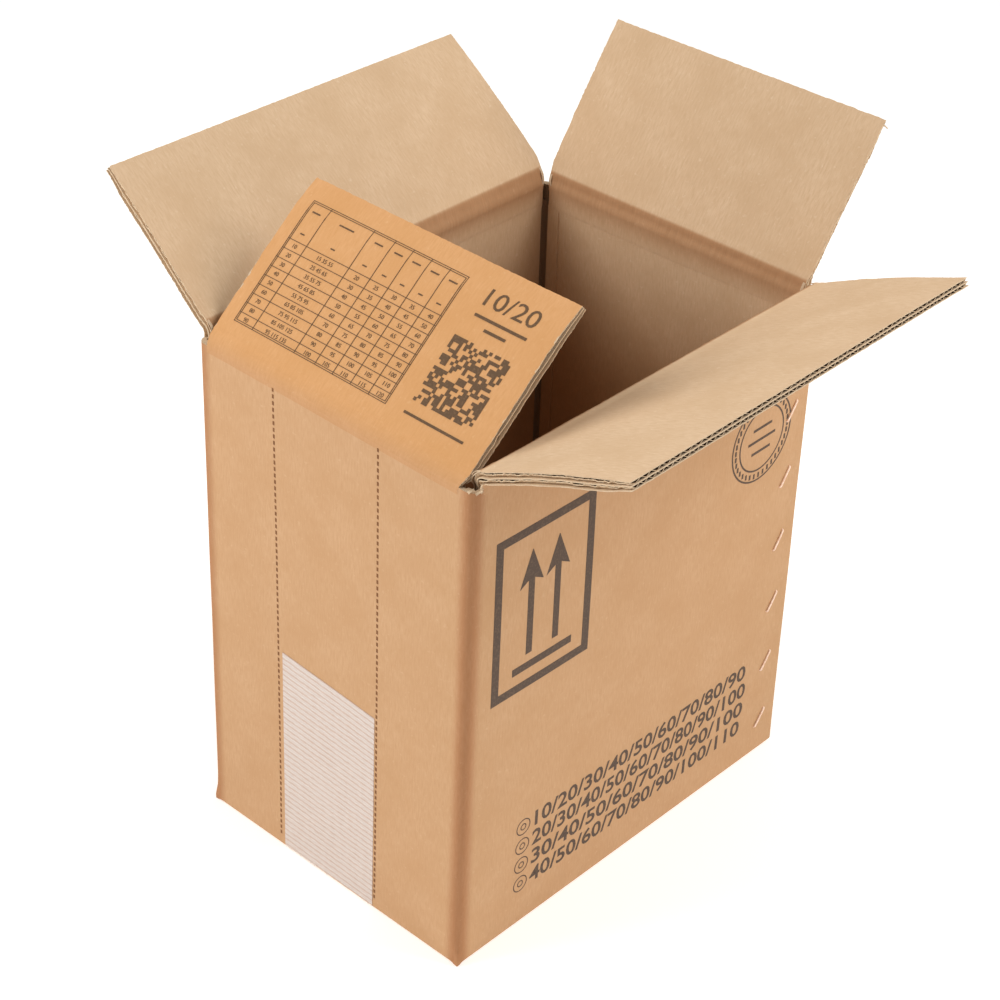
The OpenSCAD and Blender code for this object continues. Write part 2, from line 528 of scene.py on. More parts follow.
@dataclass(frozen=True)
class FilamentTape:
    """Film tape with threads laid across it: milky film, each thread a fine bright ridge.

    Every second thread is stronger, and fine crimps run along the tape.
    """

    name: str = "filament_tape"
    film: str = "#CDB6A8"
    thread: str = "#D9CFC8"
    gap: str = "#C3A491"
    thread_pitch: float = 1.92 * MM
    roughness: float = 0.45

    def build(self) -> bpy.types.Material:
        """Returns the finish as a material."""
        material = start_material(self.name)
        uv = add_node(material, "ShaderNodeTexCoord").outputs["UV"]
        fine, strong = (
            add_waves(material, uv, "Y", share * self.thread_pitch, 1.6, 2.0, 2.2) for share in (1, 2))
        both = calculate(material, "MULTIPLY_ADD", strong, 1.4, fine)
        stretch = add_node(
            material, "ShaderNodeMapping", {"Vector": uv, "Scale": (1.0, 0.12, 1.0)}).outputs[0]
        crimps = add_noise(material, stretch, 4 * MM, 3.0, 0.6)
        milky = mix(material, ramp(material, crimps, 0.3, 0.9), linear(self.film), linear(self.gap))
        colour = mix(material, ramp(material, both, 0.5, 2.1), milky, linear(self.thread))
        height = calculate(material, "MULTIPLY_ADD", crimps, 0.5, both)
        bump = add_bump(material, height, 0.6, 0.12 * MM)
        return finish_material(material, colour, self.roughness, bump)


@dataclass(frozen=True)
class CopperedWire:
    """Flat steel wire with a drawn copper coat, with fine marks along it; its colour is paled to paint the
    wire's bright highlight.
    """

    name: str = "coppered_wire_painted_highlight"
    # Pale copper: the wire's colour, paled to paint its bright highlight.
    colour: str = "#F4D6BE"
    worn: str = "#D9A988"
    roughness: float = 0.38

    def build(self) -> bpy.types.Material:
        """Returns the finish as a material."""
        material = start_material(self.name)
        place = add_node(material, "ShaderNodeTexCoord").outputs["Object"]
        marks = add_noise(material, place, 1.5 * MM, 3.0)
        colour = mix(material, ramp(material, marks, 0.45, 0.75), linear(self.colour), linear(self.worn))
        bump = add_bump(material, marks, 0.2, 0.05 * MM)
        return finish_material(material, colour, self.roughness, bump, Metallic=0.4)


@dataclass(frozen=True)
class FlexoInk:
    """Water-based printing ink, soaked into the liner: matt, thin where the fibres stand up."""

    name: str = "flexo_ink"
    colour: str = "#5C4C41"
    thin: str = "#776250"
    roughness: float = 0.8

    def build(self) -> bpy.types.Material:
        """Returns the finish as a material."""
        material = start_material(self.name)
        place = add_node(material, "ShaderNodeTexCoord").outputs["Object"]
        soak = add_noise(material, place, 1.2 * MM, 4.0)
        colour = mix(material, ramp(material, soak, 0.5, 0.8), linear(self.colour), linear(self.thin))
        return finish_material(material, colour, self.roughness, None, Specular_IOR_Level=0.25)


@dataclass(frozen=True)
class StudioFloor:
    """Pale matt light table, lit a little from below, which keeps the shadows soft."""

    name: str = "light_table"
    colour: str = "#F8F7F5"
    glow: float = 0.4

    def build(self) -> bpy.types.Material:
        """Returns the finish as a material."""
        return finish_material(
            start_material(self.name), linear(self.colour), 0.9, None,
            Emission_Color=linear(self.colour), Emission_Strength=self.glow)


@dataclass
class Finishes:
    """Every material of the carton, built once."""

    outer: bpy.types.Material = field(default_factory=lambda: KraftLiner(
        "kraft_liner_outer", "#CEA57E", "#C3976D", "#D6B28E", 0.5).build())
    # Walls: their paper darkens along the upright folds, partly as rubbed wear and partly as painted shade.
    walls: bpy.types.Material = field(default_factory=lambda: KraftLiner(
        "kraft_liner_folded", "#CEA57E", "#C3976D", "#D6B28E", 0.5, fold_tint="#E2CEC2").build())
    printed: bpy.types.Material = field(default_factory=lambda: KraftLiner(
        "kraft_liner_printed", "#E0AA76", "#D59D65", "#E6B888", 0.35, foot_tint="#E6E9F6").build())
    # Inner liner: its foot tint is painted shade, darker deeper down the inside of the box.
    inner: bpy.types.Material = field(default_factory=lambda: KraftLiner(
        "test_liner_inner", "#E4C5A2", "#D4B28C", "#EDD4B5", 0.6, foot_tint="#C9AF96",
        # The crease tint is painted shade at the creases and on the walls just below them.
        foot=262 * MM, foot_fade=70 * MM, score_tint="#D9C2B0").build())
    cut: bpy.types.Material = field(default_factory=lambda: CutBoard().build())
    # Fluting medium: a darker paper than the liners, darkened further to paint the shade inside the open
    # flutes and the crushed crease.
    medium: bpy.types.Material = field(default_factory=lambda: CutBoard(
        "fluting_medium_darkened_for_shade", "#5C432E", "#443021").build())
    # Dark paint for the inner upright corners: painted shade in the corner grooves.
    scored: bpy.types.Material = field(default_factory=lambda: CutBoard(
        "painted_corner_shade", "#A48467", "#8C6E53").build())
    tape: bpy.types.Material = field(default_factory=lambda: FilamentTape().build())
    wire: bpy.types.Material = field(default_factory=lambda: CopperedWire().build())
    ink: bpy.types.Material = field(default_factory=lambda: FlexoInk().build())
    flap_ink: bpy.types.Material = field(default_factory=lambda: FlexoInk(
        "thin_flexo_ink", "#68503A", "#84664A").build())
    guide_ink: bpy.types.Material = field(default_factory=lambda: FlexoInk(
        "brown_flexo_ink", "#7C5232", "#936840").build())


# The board and its creases


@dataclass(frozen=True)
class BoardGauge:
    """Make-up of the double-wall board, from its outer face inwards."""

    thickness: float = 7.0 * MM
    liner: float = 0.5 * MM
    medium: float = 0.32 * MM
    coarse_height: float = 2.75 * MM
    fine_pitch: float = 6.5 * MM
    coarse_pitch: float = 7.9 * MM

    @property
    def fine_height(self) -> float:
        """Height of the outer row of flutes."""
        return self.thickness - 3 * self.liner - self.coarse_height

    @property
    def middle_liner(self) -> float:
        """Depth of the middle liner's middle."""
        return 1.5 * self.liner + self.fine_height


@dataclass(frozen=True)
class Crease:
    """Hinge line between a wall and its flap, and the bend of the board around it.

    Places on the board are given by u along the crease, v up the board from the crease
    (below nought on the wall) and the depth from the outer face. The scoring wheel crushes
    the board towards its outer face there, and leaves a groove in its inner face.
    """

    pivot: Vector
    axis: Vector
    angle: float
    offset: float = 0.2 * MM
    reach: float = 5.0 * MM
    crush: float = 0.4
    crush_up: float = 12.0 * MM
    crush_down: float = 6.0 * MM
    groove: float = 0.8 * MM
    groove_width: float = 1.5 * MM
    groove_spot: float = -1.6 * MM

    @property
    def outward(self) -> Vector:
        """Direction that the wall faces."""
        return self.axis.cross(UP)

    @property
    def flap_way(self) -> Vector:
        """Direction from the crease to the flap's free edge."""
        return self.outward * math.sin(self.angle) + UP * math.cos(self.angle)

    def crushed(self, v: float) -> float:
        """Returns the share of its thickness that the board has left at a height."""
        length = self.crush_up if v > 0 else self.crush_down
        return 1 - self.crush * math.exp(-((v / length) ** 2))

    def grooved(self, u: float, v: float) -> float:
        """Returns the depth of the groove in the inner face at a place."""
        comb = 1 + 0.55 * rough(u / (2.6 * MM), v / (9 * MM)) + 0.25 * rough(u / (30 * MM), 3)
        groove = self.groove * math.exp(-(((v - self.groove_spot) / self.groove_width) ** 2))
        ridge = 0.15 * MM * math.exp(-(((v - self.groove_spot - 5.5 * MM) / (2 * MM)) ** 2))
        return (groove - ridge) * comb

    def spot(self, u: float, v: float, depth: float) -> Vector:
        """Finds a place on the bent board.

        Args:
            u: Distance along the crease.
            v: Distance up the board from the crease.
            depth: Depth from the outer face.

        Returns:
            The place in the row frame.
        """
        depth = depth * self.crushed(v) + self.offset
        turn = self.angle
        if v <= -self.reach:
            out, up, now = 0.0, v, 0.0
        elif v >= self.reach:
            out, up, now = v * math.sin(turn), v * math.cos(turn), turn
        else:
            now = turn * (v + self.reach) / (2 * self.reach)
            radius = self.reach / math.tan(turn / 2)
            out = radius * (1 - math.cos(now))
            up = -self.reach + radius * math.sin(now)
        out -= depth * math.cos(now)
        up += depth * math.sin(now)
        return self.pivot + self.axis * u + self.outward * out + UP * up


@dataclass(frozen=True)
class Rack:
    """How the open carton stands out of square.

    Its far corner is pushed aside at the top, and its rim rises a little away from the
    front corner.
    """

    half_l: float
    half_w: float
    top: float
    push: Vector = Vector((-2.6, 2.6, -2.0)) * MM
    rise: float = 2.5 * MM

    def moved(self, point: Vector) -> Vector:
        """Moves a point of the walls or flaps."""
        along = smooth((point.x / self.half_l + 1) / 2)
        across = smooth((point.y / self.half_w + 1) / 2)
        height = max(0.0, min(1.0, point.z / self.top))
        return point + (self.push * (along * across) + UP * self.rise * (along + across)) * height


@dataclass(frozen=True)
class Warp:
    """How one flap differs from a flat rectangle; a pair holds its two ends along the crease.

    Arch, lift and twist move it towards its inner side: arch at mid-length, lift at the
    free edge, and twist there one way at one end and the other way at the other. Longer is
    what it has over its plan. A slot takes its width off at the crease and ends at a height
    up the flap, taper takes it off at the free edge, and slant is how far the cut leans away
    from the outer face.
    """

    arch: float = 0.0
    lift: float = 0.0
    twist: float = 0.0
    longer: float = 0.0
    slot: tuple[float, float] = (3.0 * MM, 3.0 * MM)
    slot_end: tuple[float, float] = (12.0 * MM, 12.0 * MM)
    taper: tuple[float, float] = (0.0, 0.0)
    slant: tuple[float, float] = (0.0, 0.0)


@dataclass
class FlapBoard:
    """One top flap with the top of its wall: three liners, two rows of flutes, a crushed crease."""

    node: str
    body: str
    slot: str
    crease: Crease
    width: float
    length: float
    outer: bpy.types.Material
    finishes: Finishes
    rack: Rack
    warp: Warp
    gauge: BoardGauge = BoardGauge()
    root: float = -20.0 * MM
    crushed: float = 7.0 * MM
    pinch: float = 0.34
    recess: float = 0.0
    outer_join: float = -6.5 * MM
    inner_join: float = -15.0 * MM
    fray: float = 0.35 * MM
    wrinkle: float = 0.0
    seed: float = 0.0

    def height_at(self, share: float) -> float:
        """Spreads rows along the board, close together at the crease.

        Args:
            share: Nought at the root, inside the wall, and one at the free edge.

        Returns:
            Distance up the board from the crease.
        """
        stops = ((0.0, self.root), (0.1, -8 * MM), (0.6, 11 * MM), (1.0, self.length))
        for (a, low), (b, high) in zip(stops, stops[1:]):
            if share <= b:
                return low + (high - low) * (share - a) / (b - a)
        return self.length

    def half_width(self, side: float, v: float, depth: float) -> float:
        """Finds how far the board reaches along the crease, to one side.

        Args:
            side: Below nought for the near end of the crease, above for the far one.
            v: Distance up the board from the crease.
            depth: Depth from the outer face.

        Returns:
            The distance from the crease's middle.
        """
        end = 0 if side < 0 else 1
        slot_end = self.warp.slot_end[end]
        slot = self.warp.slot[end] * (1 - smooth((v + 5 * MM) / (slot_end + 5 * MM)))
        taper = self.warp.taper[end] * max(0.0, v / self.length)
        slant = self.warp.slant[end] * smooth(v / (10 * MM)) * (1 - depth / self.gauge.thickness)
        return self.width / 2 - slot - taper - slant

    def across(self, share: float, v: float, depth: float) -> float:
        """Finds a place along the crease from its share of the board's width.

        Args:
            share: Minus a half at the near side edge, a half at the far one.
            v: Distance up the board from the crease.
            depth: Depth from the outer face.

        Returns:
            Distance along the crease.
        """
        near = self.half_width(-1, v, depth)
        far = self.half_width(1, v, depth)
        return (share + 0.5) * (near + far) - near

    def spot(self, u: float, v: float, depth: float) -> Vector:
        """Finds a place on the warped board; its free edge is pinched by the trimming blade."""
        whole = self.gauge.thickness
        pinched = self.pinch * smooth((v - self.length + 22 * MM) / (22 * MM))
        depth = whole - (whole - depth) * (1 - pinched)
        share = max(0.0, v / self.length)
        side = 2 * u / self.width
        depth += share ** 2 * (self.warp.lift + self.warp.twist * side)
        depth += self.warp.arch * math.sin(math.pi * min(1.0, share))
        return self.rack.moved(self.crease.spot(u, v, depth))

    def joined(self, v: float, join_at: float) -> float:
        """Returns how far a face stands proud of the wall, which it dips into below a height."""
        proud = 0.07 * MM * (1 - smooth((v - 2 * MM) / (4 * MM)))
        return proud - 0.6 * MM * smooth((join_at - v) / (4 * MM))

    def liner(self, depth: float, material: bpy.types.Material, face: int) -> bpy.types.Object:
        """Builds one liner as a thin bent sheet with frayed edges.

        Args:
            depth: Depth of its middle from the outer face.
            material: Its finish.
            face: One for the outer liner, minus one for the inner, nought for the middle.

        Returns:
            The liner.
        """
        sheet = add_sheet(150 if face else 60, 56)
        self.lay_uv(sheet)
        layer = depth / MM + self.seed

        def place(point: Vector) -> Vector:
            """Places one point of the liner."""
            v = self.height_at(point.y + 0.5)
            u = self.across(point.x, v, depth)
            out = 0.0
            if face > 0:
                out = self.wrinkles(u, v) + self.joined(v, self.outer_join)
            elif face < 0:
                out = self.grooved_face(u, v)
            edge = 0.0
            if abs(point.x) > 0.4999 and v > -4 * MM:
                edge = rough(v / (5 * MM), 9 + point.x, layer)
                u += self.fray * (rough(v / (2.2 * MM), 3 + point.x, layer) + 0.5 * edge)
            if point.y > 0.4999:
                edge = 0.5 * rough(u / (6 * MM), 11, layer)
                v += self.fray * rough(u / (2.5 * MM), 5, layer)
            return self.spot(u, v, depth - out + self.fray * edge)

        thickness = self.gauge.liner if face else 1.3 * self.gauge.liner
        return thicken(
            sheet, place, thickness, material, self.finishes.cut,
            material_offset=max(0, face), material_offset_rim=1)

    def frayed_lip(self, side: int, depth: float) -> bpy.types.Object:
        """Builds the paper fibres that stand out past the cut along one side of a liner.

        Args:
            side: Minus one or one, for the two side edges.
            depth: Depth of the liner's middle from the outer face.

        Returns:
            The fibres, a narrow ragged strip.
        """
        sheet = add_sheet(2, 150)
        layer = depth / MM + self.seed

        def place(point: Vector) -> Vector:
            """Places one point of the fibres."""
            v = -3 * MM + (point.y + 0.5) * (self.length + 2.4 * MM)
            inwards = 0.5 - point.x
            torn = 0.15 + 0.9 * rough(v / (1.5 * MM), side, layer) + 0.5 * rough(v / (8 * MM), side, layer)
            reach = max(-0.6, torn) * self.fray * 1.6 - inwards * 1.6 * MM
            lifted = 0.5 * self.fray * rough(v / (2.4 * MM), side, layer + 2) * (1 - inwards)
            return self.spot(side * (self.half_width(side, v, depth) + reach), v, depth + lifted)

        return thicken(sheet, place, 0.5 * self.gauge.liner, self.finishes.cut)

    def grooved_face(self, u: float, v: float) -> float:
        """Returns how far the inner face is pressed towards the outer one."""
        return self.crease.grooved(u, v) - self.joined(v, self.inner_join)

    def wrinkles(self, u: float, v: float) -> float:
        """Returns how far small folds beside the crease lift the outer face."""
        lift = 0.0
        for at, size, width in ((-4.6, 0.4, 0.8), (-1.9, 0.3, 0.7), (4.4, 0.4, 0.9), (8.6, 0.55, 0.8)):
            drift = 0.7 * rough(u / (35 * MM), at)
            patchy = 0.6 + 0.6 * rough(u / (11 * MM), at, 4)
            lift += size * patchy * math.exp(-(((v / MM - at - drift) / width) ** 2))
        return self.wrinkle * lift * MM

    def lay_uv(self, sheet: bpy.types.Object) -> None:
        """Gives a sheet the map of the wall below it, so that the paper runs on over the crease."""
        way = self.crease.axis.x + self.crease.axis.y
        for corner in sheet.data.uv_layers.active.data:
            across = way * (corner.uv.x - 0.5) * self.width
            corner.uv = (across, self.crease.pivot.z + self.height_at(corner.uv.y))

    def flutes(self, middle: float, height: float, pitch: float) -> bpy.types.Object:
        """Builds one wavy sheet between two liners.

        Args:
            middle: Depth of its middle from the outer face.
            height: Height from crest to crest.
            pitch: Distance from crest to crest.

        Returns:
            The wavy sheet.
        """
        sheet = add_sheet(int(self.width / pitch) * 10, 6)
        swing = (height - self.gauge.medium) / 2
        phase = 0.25 if pitch > self.gauge.fine_pitch else 0.1

        def place(point: Vector) -> Vector:
            """Places one point of the wavy sheet."""
            v = self.crushed + (point.y + 0.5) * (self.length - self.crushed - 0.3 * MM)
            u = self.across(0.982 * point.x, v, middle)
            turn = u / pitch + phase + 0.04 * rough(u / (30 * MM), v / (40 * MM), pitch)
            slope = 1 - 4 * abs(turn - math.floor(turn) - 0.5)
            wave = 0.55 * slope - 0.45 * math.cos(math.tau * turn)
            if point.y > 0.49:
                v += self.fray * (rough(u / (1.7 * MM), 7, pitch / MM) - 0.4)
            return self.spot(u, v, middle + swing * wave)

        return thicken(
            sheet, place, self.gauge.medium, self.finishes.medium, self.finishes.cut,
            material_offset_rim=1)

    def torn_flute(self, side: int, near: float, far: float) -> bpy.types.Object:
        """Builds the flute that the side cut laid open: its flank slopes in from the cut.

        Args:
            side: Minus one or one, for the two side edges.
            near: Depth of the flank at the cut, where a thin gap stays open beside it.
            far: Depth of the flank further in, on the next liner.

        Returns:
            The flank.
        """
        sheet = add_sheet(4, 120)
        reach = 3.0 * MM
        opening = math.copysign(1.0, far - near)

        def place(point: Vector) -> Vector:
            """Places one point of the flank."""
            v = -12 * MM + (point.y + 0.5) * (self.length + 11.5 * MM)
            inwards = point.x + 0.5
            ragged = 0.35 * MM * (1 + rough(v / (2.1 * MM), side, near / MM + self.seed))
            edge = self.half_width(side, v, near) - self.recess - 0.1 * MM
            u = side * (edge - inwards * reach - ragged * (1 - inwards))
            gap = 0.75 + 0.9 * rough(v / (4.5 * MM), near / MM, self.seed + side)
            gap += 0.7 * rough(v / (1.3 * MM), near / MM, self.seed - side)
            start = near + opening * MM * max(0.0, min(1.2, gap))
            return self.spot(u, v, start + (far - start) * smooth(inwards))

        # The printed flap's recessed flank takes the dark fluting medium, which paints the shade of its open
        # flute.
        finish = self.finishes.medium if self.recess else self.finishes.cut
        return thicken(sheet, place, 1.6 * self.gauge.medium, finish)

    def crushed_core(self) -> bpy.types.Object:
        """Builds the flattened flutes inside the crease, which close it between the liners."""
        core = add_box(Vector((-0.5, -0.5, 0)), Vector((0.5, 0.5, 1)))
        cut_planes(core, Vector((1, 0, 0)), steps(-0.5, 0.5, 40))
        cut_planes(core, Vector((0, 1, 0)), steps(-0.5, 0.5, 26))
        bottom = 0.8 * self.root
        outer_face = 0.6 * MM
        inner_face = self.gauge.thickness - 1.6 * MM

        def place(point: Vector) -> Vector:
            """Places one point of the core."""
            v = bottom + (point.y + 0.5) * (self.crushed + 1.5 * MM - bottom)
            u = self.across(0.97 * point.x, v, 0)
            return self.spot(u, v, outer_face + point.z * (inner_face - outer_face))

        shape(core, place)
        dress(core, self.finishes.medium)
        return core

    def build(self) -> bpy.types.Object:
        """Builds the flap board as one piece, in place, and hides the frame's flap."""
        gauge = self.gauge
        inner_depth = gauge.thickness - gauge.liner / 2
        fine_middle = gauge.liner + gauge.fine_height / 2
        coarse_middle = gauge.thickness - gauge.liner - gauge.coarse_height / 2
        parts = [
            self.liner(gauge.liner / 2, self.outer, 1),
            self.liner(gauge.middle_liner, self.finishes.cut, 0),
            self.liner(inner_depth, self.finishes.inner, -1),
            self.flutes(fine_middle, gauge.fine_height, gauge.fine_pitch),
            self.flutes(coarse_middle, gauge.coarse_height, gauge.coarse_pitch),
            self.crushed_core(),
        ]
        for side in (-1, 1):
            parts.append(self.torn_flute(side, inner_depth - 0.4 * MM, gauge.middle_liner + 0.3 * MM))
            parts.append(self.torn_flute(side, gauge.middle_liner - 0.4 * MM, gauge.liner + 0.2 * MM))
            parts.append(self.frayed_lip(side, gauge.liner / 2))
            parts.append(self.frayed_lip(side, inner_depth))
        piece = join(f"{self.node}_board", parts)
        tidy_shell(piece, 50)
        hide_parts(self.node)
        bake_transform(piece)
        return piece


# The walls and the bottom


@dataclass
class Walls:
    """The four walls and the closed bottom, each wall bowed a little.

    The walls' tops are thin behind the flap boards, whose roots reach down into them. The
    front wall's raw edge at the stitched corner leans outwards at the foot.
    """

    finishes: Finishes
    half_l: float
    half_w: float
    crease_z: dict[Side, float]
    flap_width: dict[Side, float]
    rack: Rack
    gauge: BoardGauge = BoardGauge()
    corner_radius: float = 5.5 * MM
    base_radius: float = 3.0 * MM
    slot_depth: float = 3.2 * MM
    ledge_depth: float = 14.5 * MM
    skin: float = 2.5 * MM
    corner_groove: float = 3.0 * MM
    tab_width: float = 38.0 * MM
    foot_lean: float = 4.2 * MM
    top_lean: float = -2.0 * MM
    bow: dict[Side, float] = field(default_factory=lambda: {
        Side.FRONT: 1.8 * MM, Side.BACK: 1.4 * MM, Side.PRINTED_END: -0.7 * MM, Side.PLAIN_END: 1.2 * MM})

    @property
    def top(self) -> float:
        """Height at which the walls stop and the flap boards carry on."""
        return min(self.crease_z.values()) - self.slot_depth

    @property
    def inner_l(self) -> float:
        """Half of the length inside."""
        return self.half_l - self.gauge.thickness

    @property
    def inner_w(self) -> float:
        """Half of the width inside."""
        return self.half_w - self.gauge.thickness

    def bulge(self, side: Side, across: float, z: float) -> float:
        """Finds how far a wall bows outwards at a place.

        Args:
            side: The wall.
            across: Distance from the wall's middle.
            z: Height.

        Returns:
            The distance outwards.
        """
        half = self.half_l if side in (Side.FRONT, Side.BACK) else self.half_w
        level = math.cos(math.pi * max(-1.0, min(1.0, across / half)) / 2)
        rise = math.sin(math.pi * max(0.0, min(1.0, z / self.top)))
        rise *= smooth((self.top - z) / (40 * MM))
        uneven = 0.25 * MM * rough(across / (60 * MM), z / (70 * MM), half / MM)
        from_fold = half - abs(across)
        dip = -0.3 * MM * math.exp(-(((from_fold - 10 * MM) / (3.5 * MM)) ** 2))
        return (self.bow[side] * level + uneven + dip) * rise

    def lean(self, point: Vector) -> float:
        """Finds how far the walls beside the stitched corner lean along X."""
        along = smooth((point.x - 0.4 * self.half_l) / (0.6 * self.half_l))
        across = smooth((0.2 * self.half_w - point.y) / (1.2 * self.half_w))
        height = max(0.0, min(1.0, point.z / self.top))
        fade = smooth((self.top - point.z - 9 * MM) / (25 * MM))
        return fade * along * across * (self.foot_lean + (self.top_lean - self.foot_lean) * height ** 0.8)

    def bowed(self, point: Vector) -> Vector:
        """Moves a point of the walls, tape or stitches with the walls' bow and lean."""
        x, y, z = point
        depth = 2.3 * self.gauge.thickness
        moved = point.copy()
        if y < -self.half_w + depth:
            moved.y -= self.bulge(Side.FRONT, x, z)
        if y > self.half_w - depth:
            moved.y += self.bulge(Side.BACK, x, z)
        if x < -self.half_l + depth:
            moved.x -= self.bulge(Side.PRINTED_END, y, z)
        if x > self.half_l - depth:
            moved.x += self.bulge(Side.PLAIN_END, y, z)
        moved.x += self.lean(point)
        return self.rack.moved(moved)

    def sharpen_foot(self, point: Vector) -> Vector:
        """Moves a point of an upright fold towards a sharp corner near the base."""
        radius = self.corner_radius
        if point.x > 0 and point.y < 0:
            return point
        side_x = math.copysign(1, point.x)
        side_y = math.copysign(1, point.y)
        centre_x = side_x * (self.half_l - radius)
        centre_y = side_y * (self.half_w - radius)
        off = Vector(((point.x - centre_x) * side_x, (point.y - centre_y) * side_y))
        if off.x <= 0 or off.y <= 0:
            return point
        near = 1 - smooth(point.z / (16 * MM))
        stretch = off.length / max(off.x, off.y)
        grown = off * (1 + 0.85 * near * (stretch - 1))
        tip = near * smooth(min(off.x, off.y) / (0.7 * radius))
        return Vector((
            centre_x + math.copysign(grown.x, point.x),
            centre_y + math.copysign(grown.y, point.y),
            point.z * (1 - 0.9 * tip) if point.z < self.base_radius else point.z))

    def bevel_edges(self, piece: bpy.types.Object, radius: float, wanted: Callable) -> None:
        """Rounds the edges that a rule names.

        Args:
            piece: The piece.
            radius: Radius of the round.
            wanted: Tells of an edge's two ends whether it is rounded.
        """
        pick(piece)
        start_choice("EDGE")
        points = piece.data.vertices
        for edge in piece.data.edges:
            edge.select = wanted(points[edge.vertices[0]].co, points[edge.vertices[1]].co)
        bpy.ops.object.mode_set(mode="EDIT")
        bpy.ops.mesh.bevel(offset=radius, segments=6)
        bpy.ops.object.mode_set(mode="OBJECT")

    def cut_away(self, piece: bpy.types.Object, tool: bpy.types.Object) -> None:
        """Takes one shape out of another."""
        apply_modifier(piece, "BOOLEAN", operation="DIFFERENCE", solver="EXACT", object=tool)
        bpy.data.objects.remove(tool, do_unlink=True)

    def cut_post(self, piece: bpy.types.Object, x: float, y: float, radius: float, corners: int = 20) -> None:
        """Takes an upright post out of the walls, above the floor.

        Args:
            piece: The walls.
            x: Place of the post's middle.
            y: Place of the post's middle.
            radius: Its radius.
            corners: Number of its sides.
        """
        deselect()
        bpy.ops.mesh.primitive_cylinder_add(
            vertices=corners, radius=radius, depth=2 * self.top,
            location=(x, y, self.top + 2 * self.gauge.thickness))
        self.cut_away(piece, settle(bpy.context.object))

    def shell(self) -> bpy.types.Object:
        """Builds the walls and the outer bottom flaps as one bowed shell."""
        board = self.gauge.thickness
        body = add_box(Vector((-self.half_l, -self.half_w, 0)), Vector((self.half_l, self.half_w, self.top)))

        def upright(a: Vector, b: Vector) -> bool:
            """Tells the upright folds, without the stitched corner."""
            stitched = a.x > 0 and a.y < 0
            return abs(a.z - b.z) > board and not stitched

        def base(a: Vector, b: Vector) -> bool:
            """Tells the folds along the base."""
            return max(a.z, b.z) < 0.01 * MM

        self.bevel_edges(body, self.corner_radius, upright)
        self.bevel_edges(body, self.base_radius, base)
        self.cut_away(body, add_box(
            Vector((-self.inner_l, -self.inner_w, board)),
            Vector((self.inner_l, self.inner_w, self.top + board))))
        self.cut_ledges(body)
        for sx in (-1, 1):
            for sy in (-1, 1):
                self.cut_post(body, sx * self.inner_l, sy * self.inner_w, self.corner_groove)
        self.cut_post(body, self.inner_l, self.inner_w - 12 * MM, 0.7 * MM, 8)
        self.cut_post(body, self.half_l, -self.inner_w, 1.8 * MM, 4)
        self.cut_away(body, add_box(
            Vector((-0.97 * self.half_l, -0.5 * MM, -MM)), Vector((0.97 * self.half_l, 0.5 * MM, 2 * board))))
        folds = [self.half_l - gap * MM for gap in (5.5, 8, 10.5, 14)]
        cut_planes(body, Vector((1, 0, 0)), [side * x for side in (-1, 1) for x in folds])
        folds = [self.half_w - gap * MM for gap in (5.5, 8, 10.5, 14)]
        cut_planes(body, Vector((0, 1, 0)), [side * y for side in (-1, 1) for y in folds])
        cut_planes(body, Vector((1, 0, 0)), steps(-self.half_l, self.half_l, 14))
        cut_planes(body, Vector((0, 1, 0)), steps(-self.half_w, self.half_w, 10))
        cut_planes(body, UP, [4 * MM, 8 * MM, 12 * MM, *steps(0, self.top, 16)])
        self.map_faces(body)
        shape(body, lambda point: self.bowed(self.sharpen_foot(point)))
        body.name = "carton_walls"
        return body

    def cut_ledges(self, body: bpy.types.Object) -> None:
        """Thins the top of each wall from inside, where a flap board's root fills it."""
        board = self.gauge.thickness
        for side in Side:
            low_z = self.crease_z[side] - self.ledge_depth
            half = self.flap_width[side] / 2
            face, inside = self.half_w - self.skin, self.inner_w - board
            if side in (Side.PRINTED_END, Side.PLAIN_END):
                face, inside = self.half_l - self.skin, self.inner_l - board
            near, far = (-face, -inside) if side in (Side.FRONT, Side.PRINTED_END) else (inside, face)
            low, high = Vector((-half, near, low_z)), Vector((half, far, self.top + board))
            if side in (Side.PRINTED_END, Side.PLAIN_END):
                low, high = Vector((near, -half, low_z)), Vector((far, half, self.top + board))
            self.cut_away(body, add_box(low, high))

    def map_faces(self, body: bpy.types.Object) -> None:
        """Lays a real-size map on the walls and gives each face its liner."""
        mesh = body.data
        layer = mesh.uv_layers.active or mesh.uv_layers.new(name="board")
        dress(body, self.finishes.walls, self.finishes.inner, self.finishes.cut, self.finishes.scored)
        outside_l = self.half_l - 0.6 * self.gauge.thickness
        outside_w = self.half_w - 0.6 * self.gauge.thickness
        for face in mesh.polygons:
            middle = face.center
            normal = face.normal
            below = middle.z < 0.3 * self.gauge.thickness
            outside = abs(middle.x) > outside_l or abs(middle.y) > outside_w or below
            inward = normal.x * middle.x < -0.1 * MM or normal.y * middle.y < -0.1 * MM or normal.z > 0.5
            face.material_index = 0 if outside and not inward else 1
            # The inner upright corners take the dark corner material: painted shade in the grooves.
            if inward and abs(middle.x) > self.inner_l - MM and abs(middle.y) > self.inner_w - MM:
                face.material_index = 3
            if middle.z > self.top - 0.01 * MM:
                face.material_index = 2
            for loop in face.loop_indices:
                point = mesh.vertices[mesh.loops[loop].vertex_index].co
                if abs(normal.z) > 0.7:
                    layer.data[loop].uv = (point.x, point.y)
                elif abs(normal.x) > abs(normal.y):
                    layer.data[loop].uv = (point.y, point.z)
                else:
                    layer.data[loop].uv = (point.x, point.z)

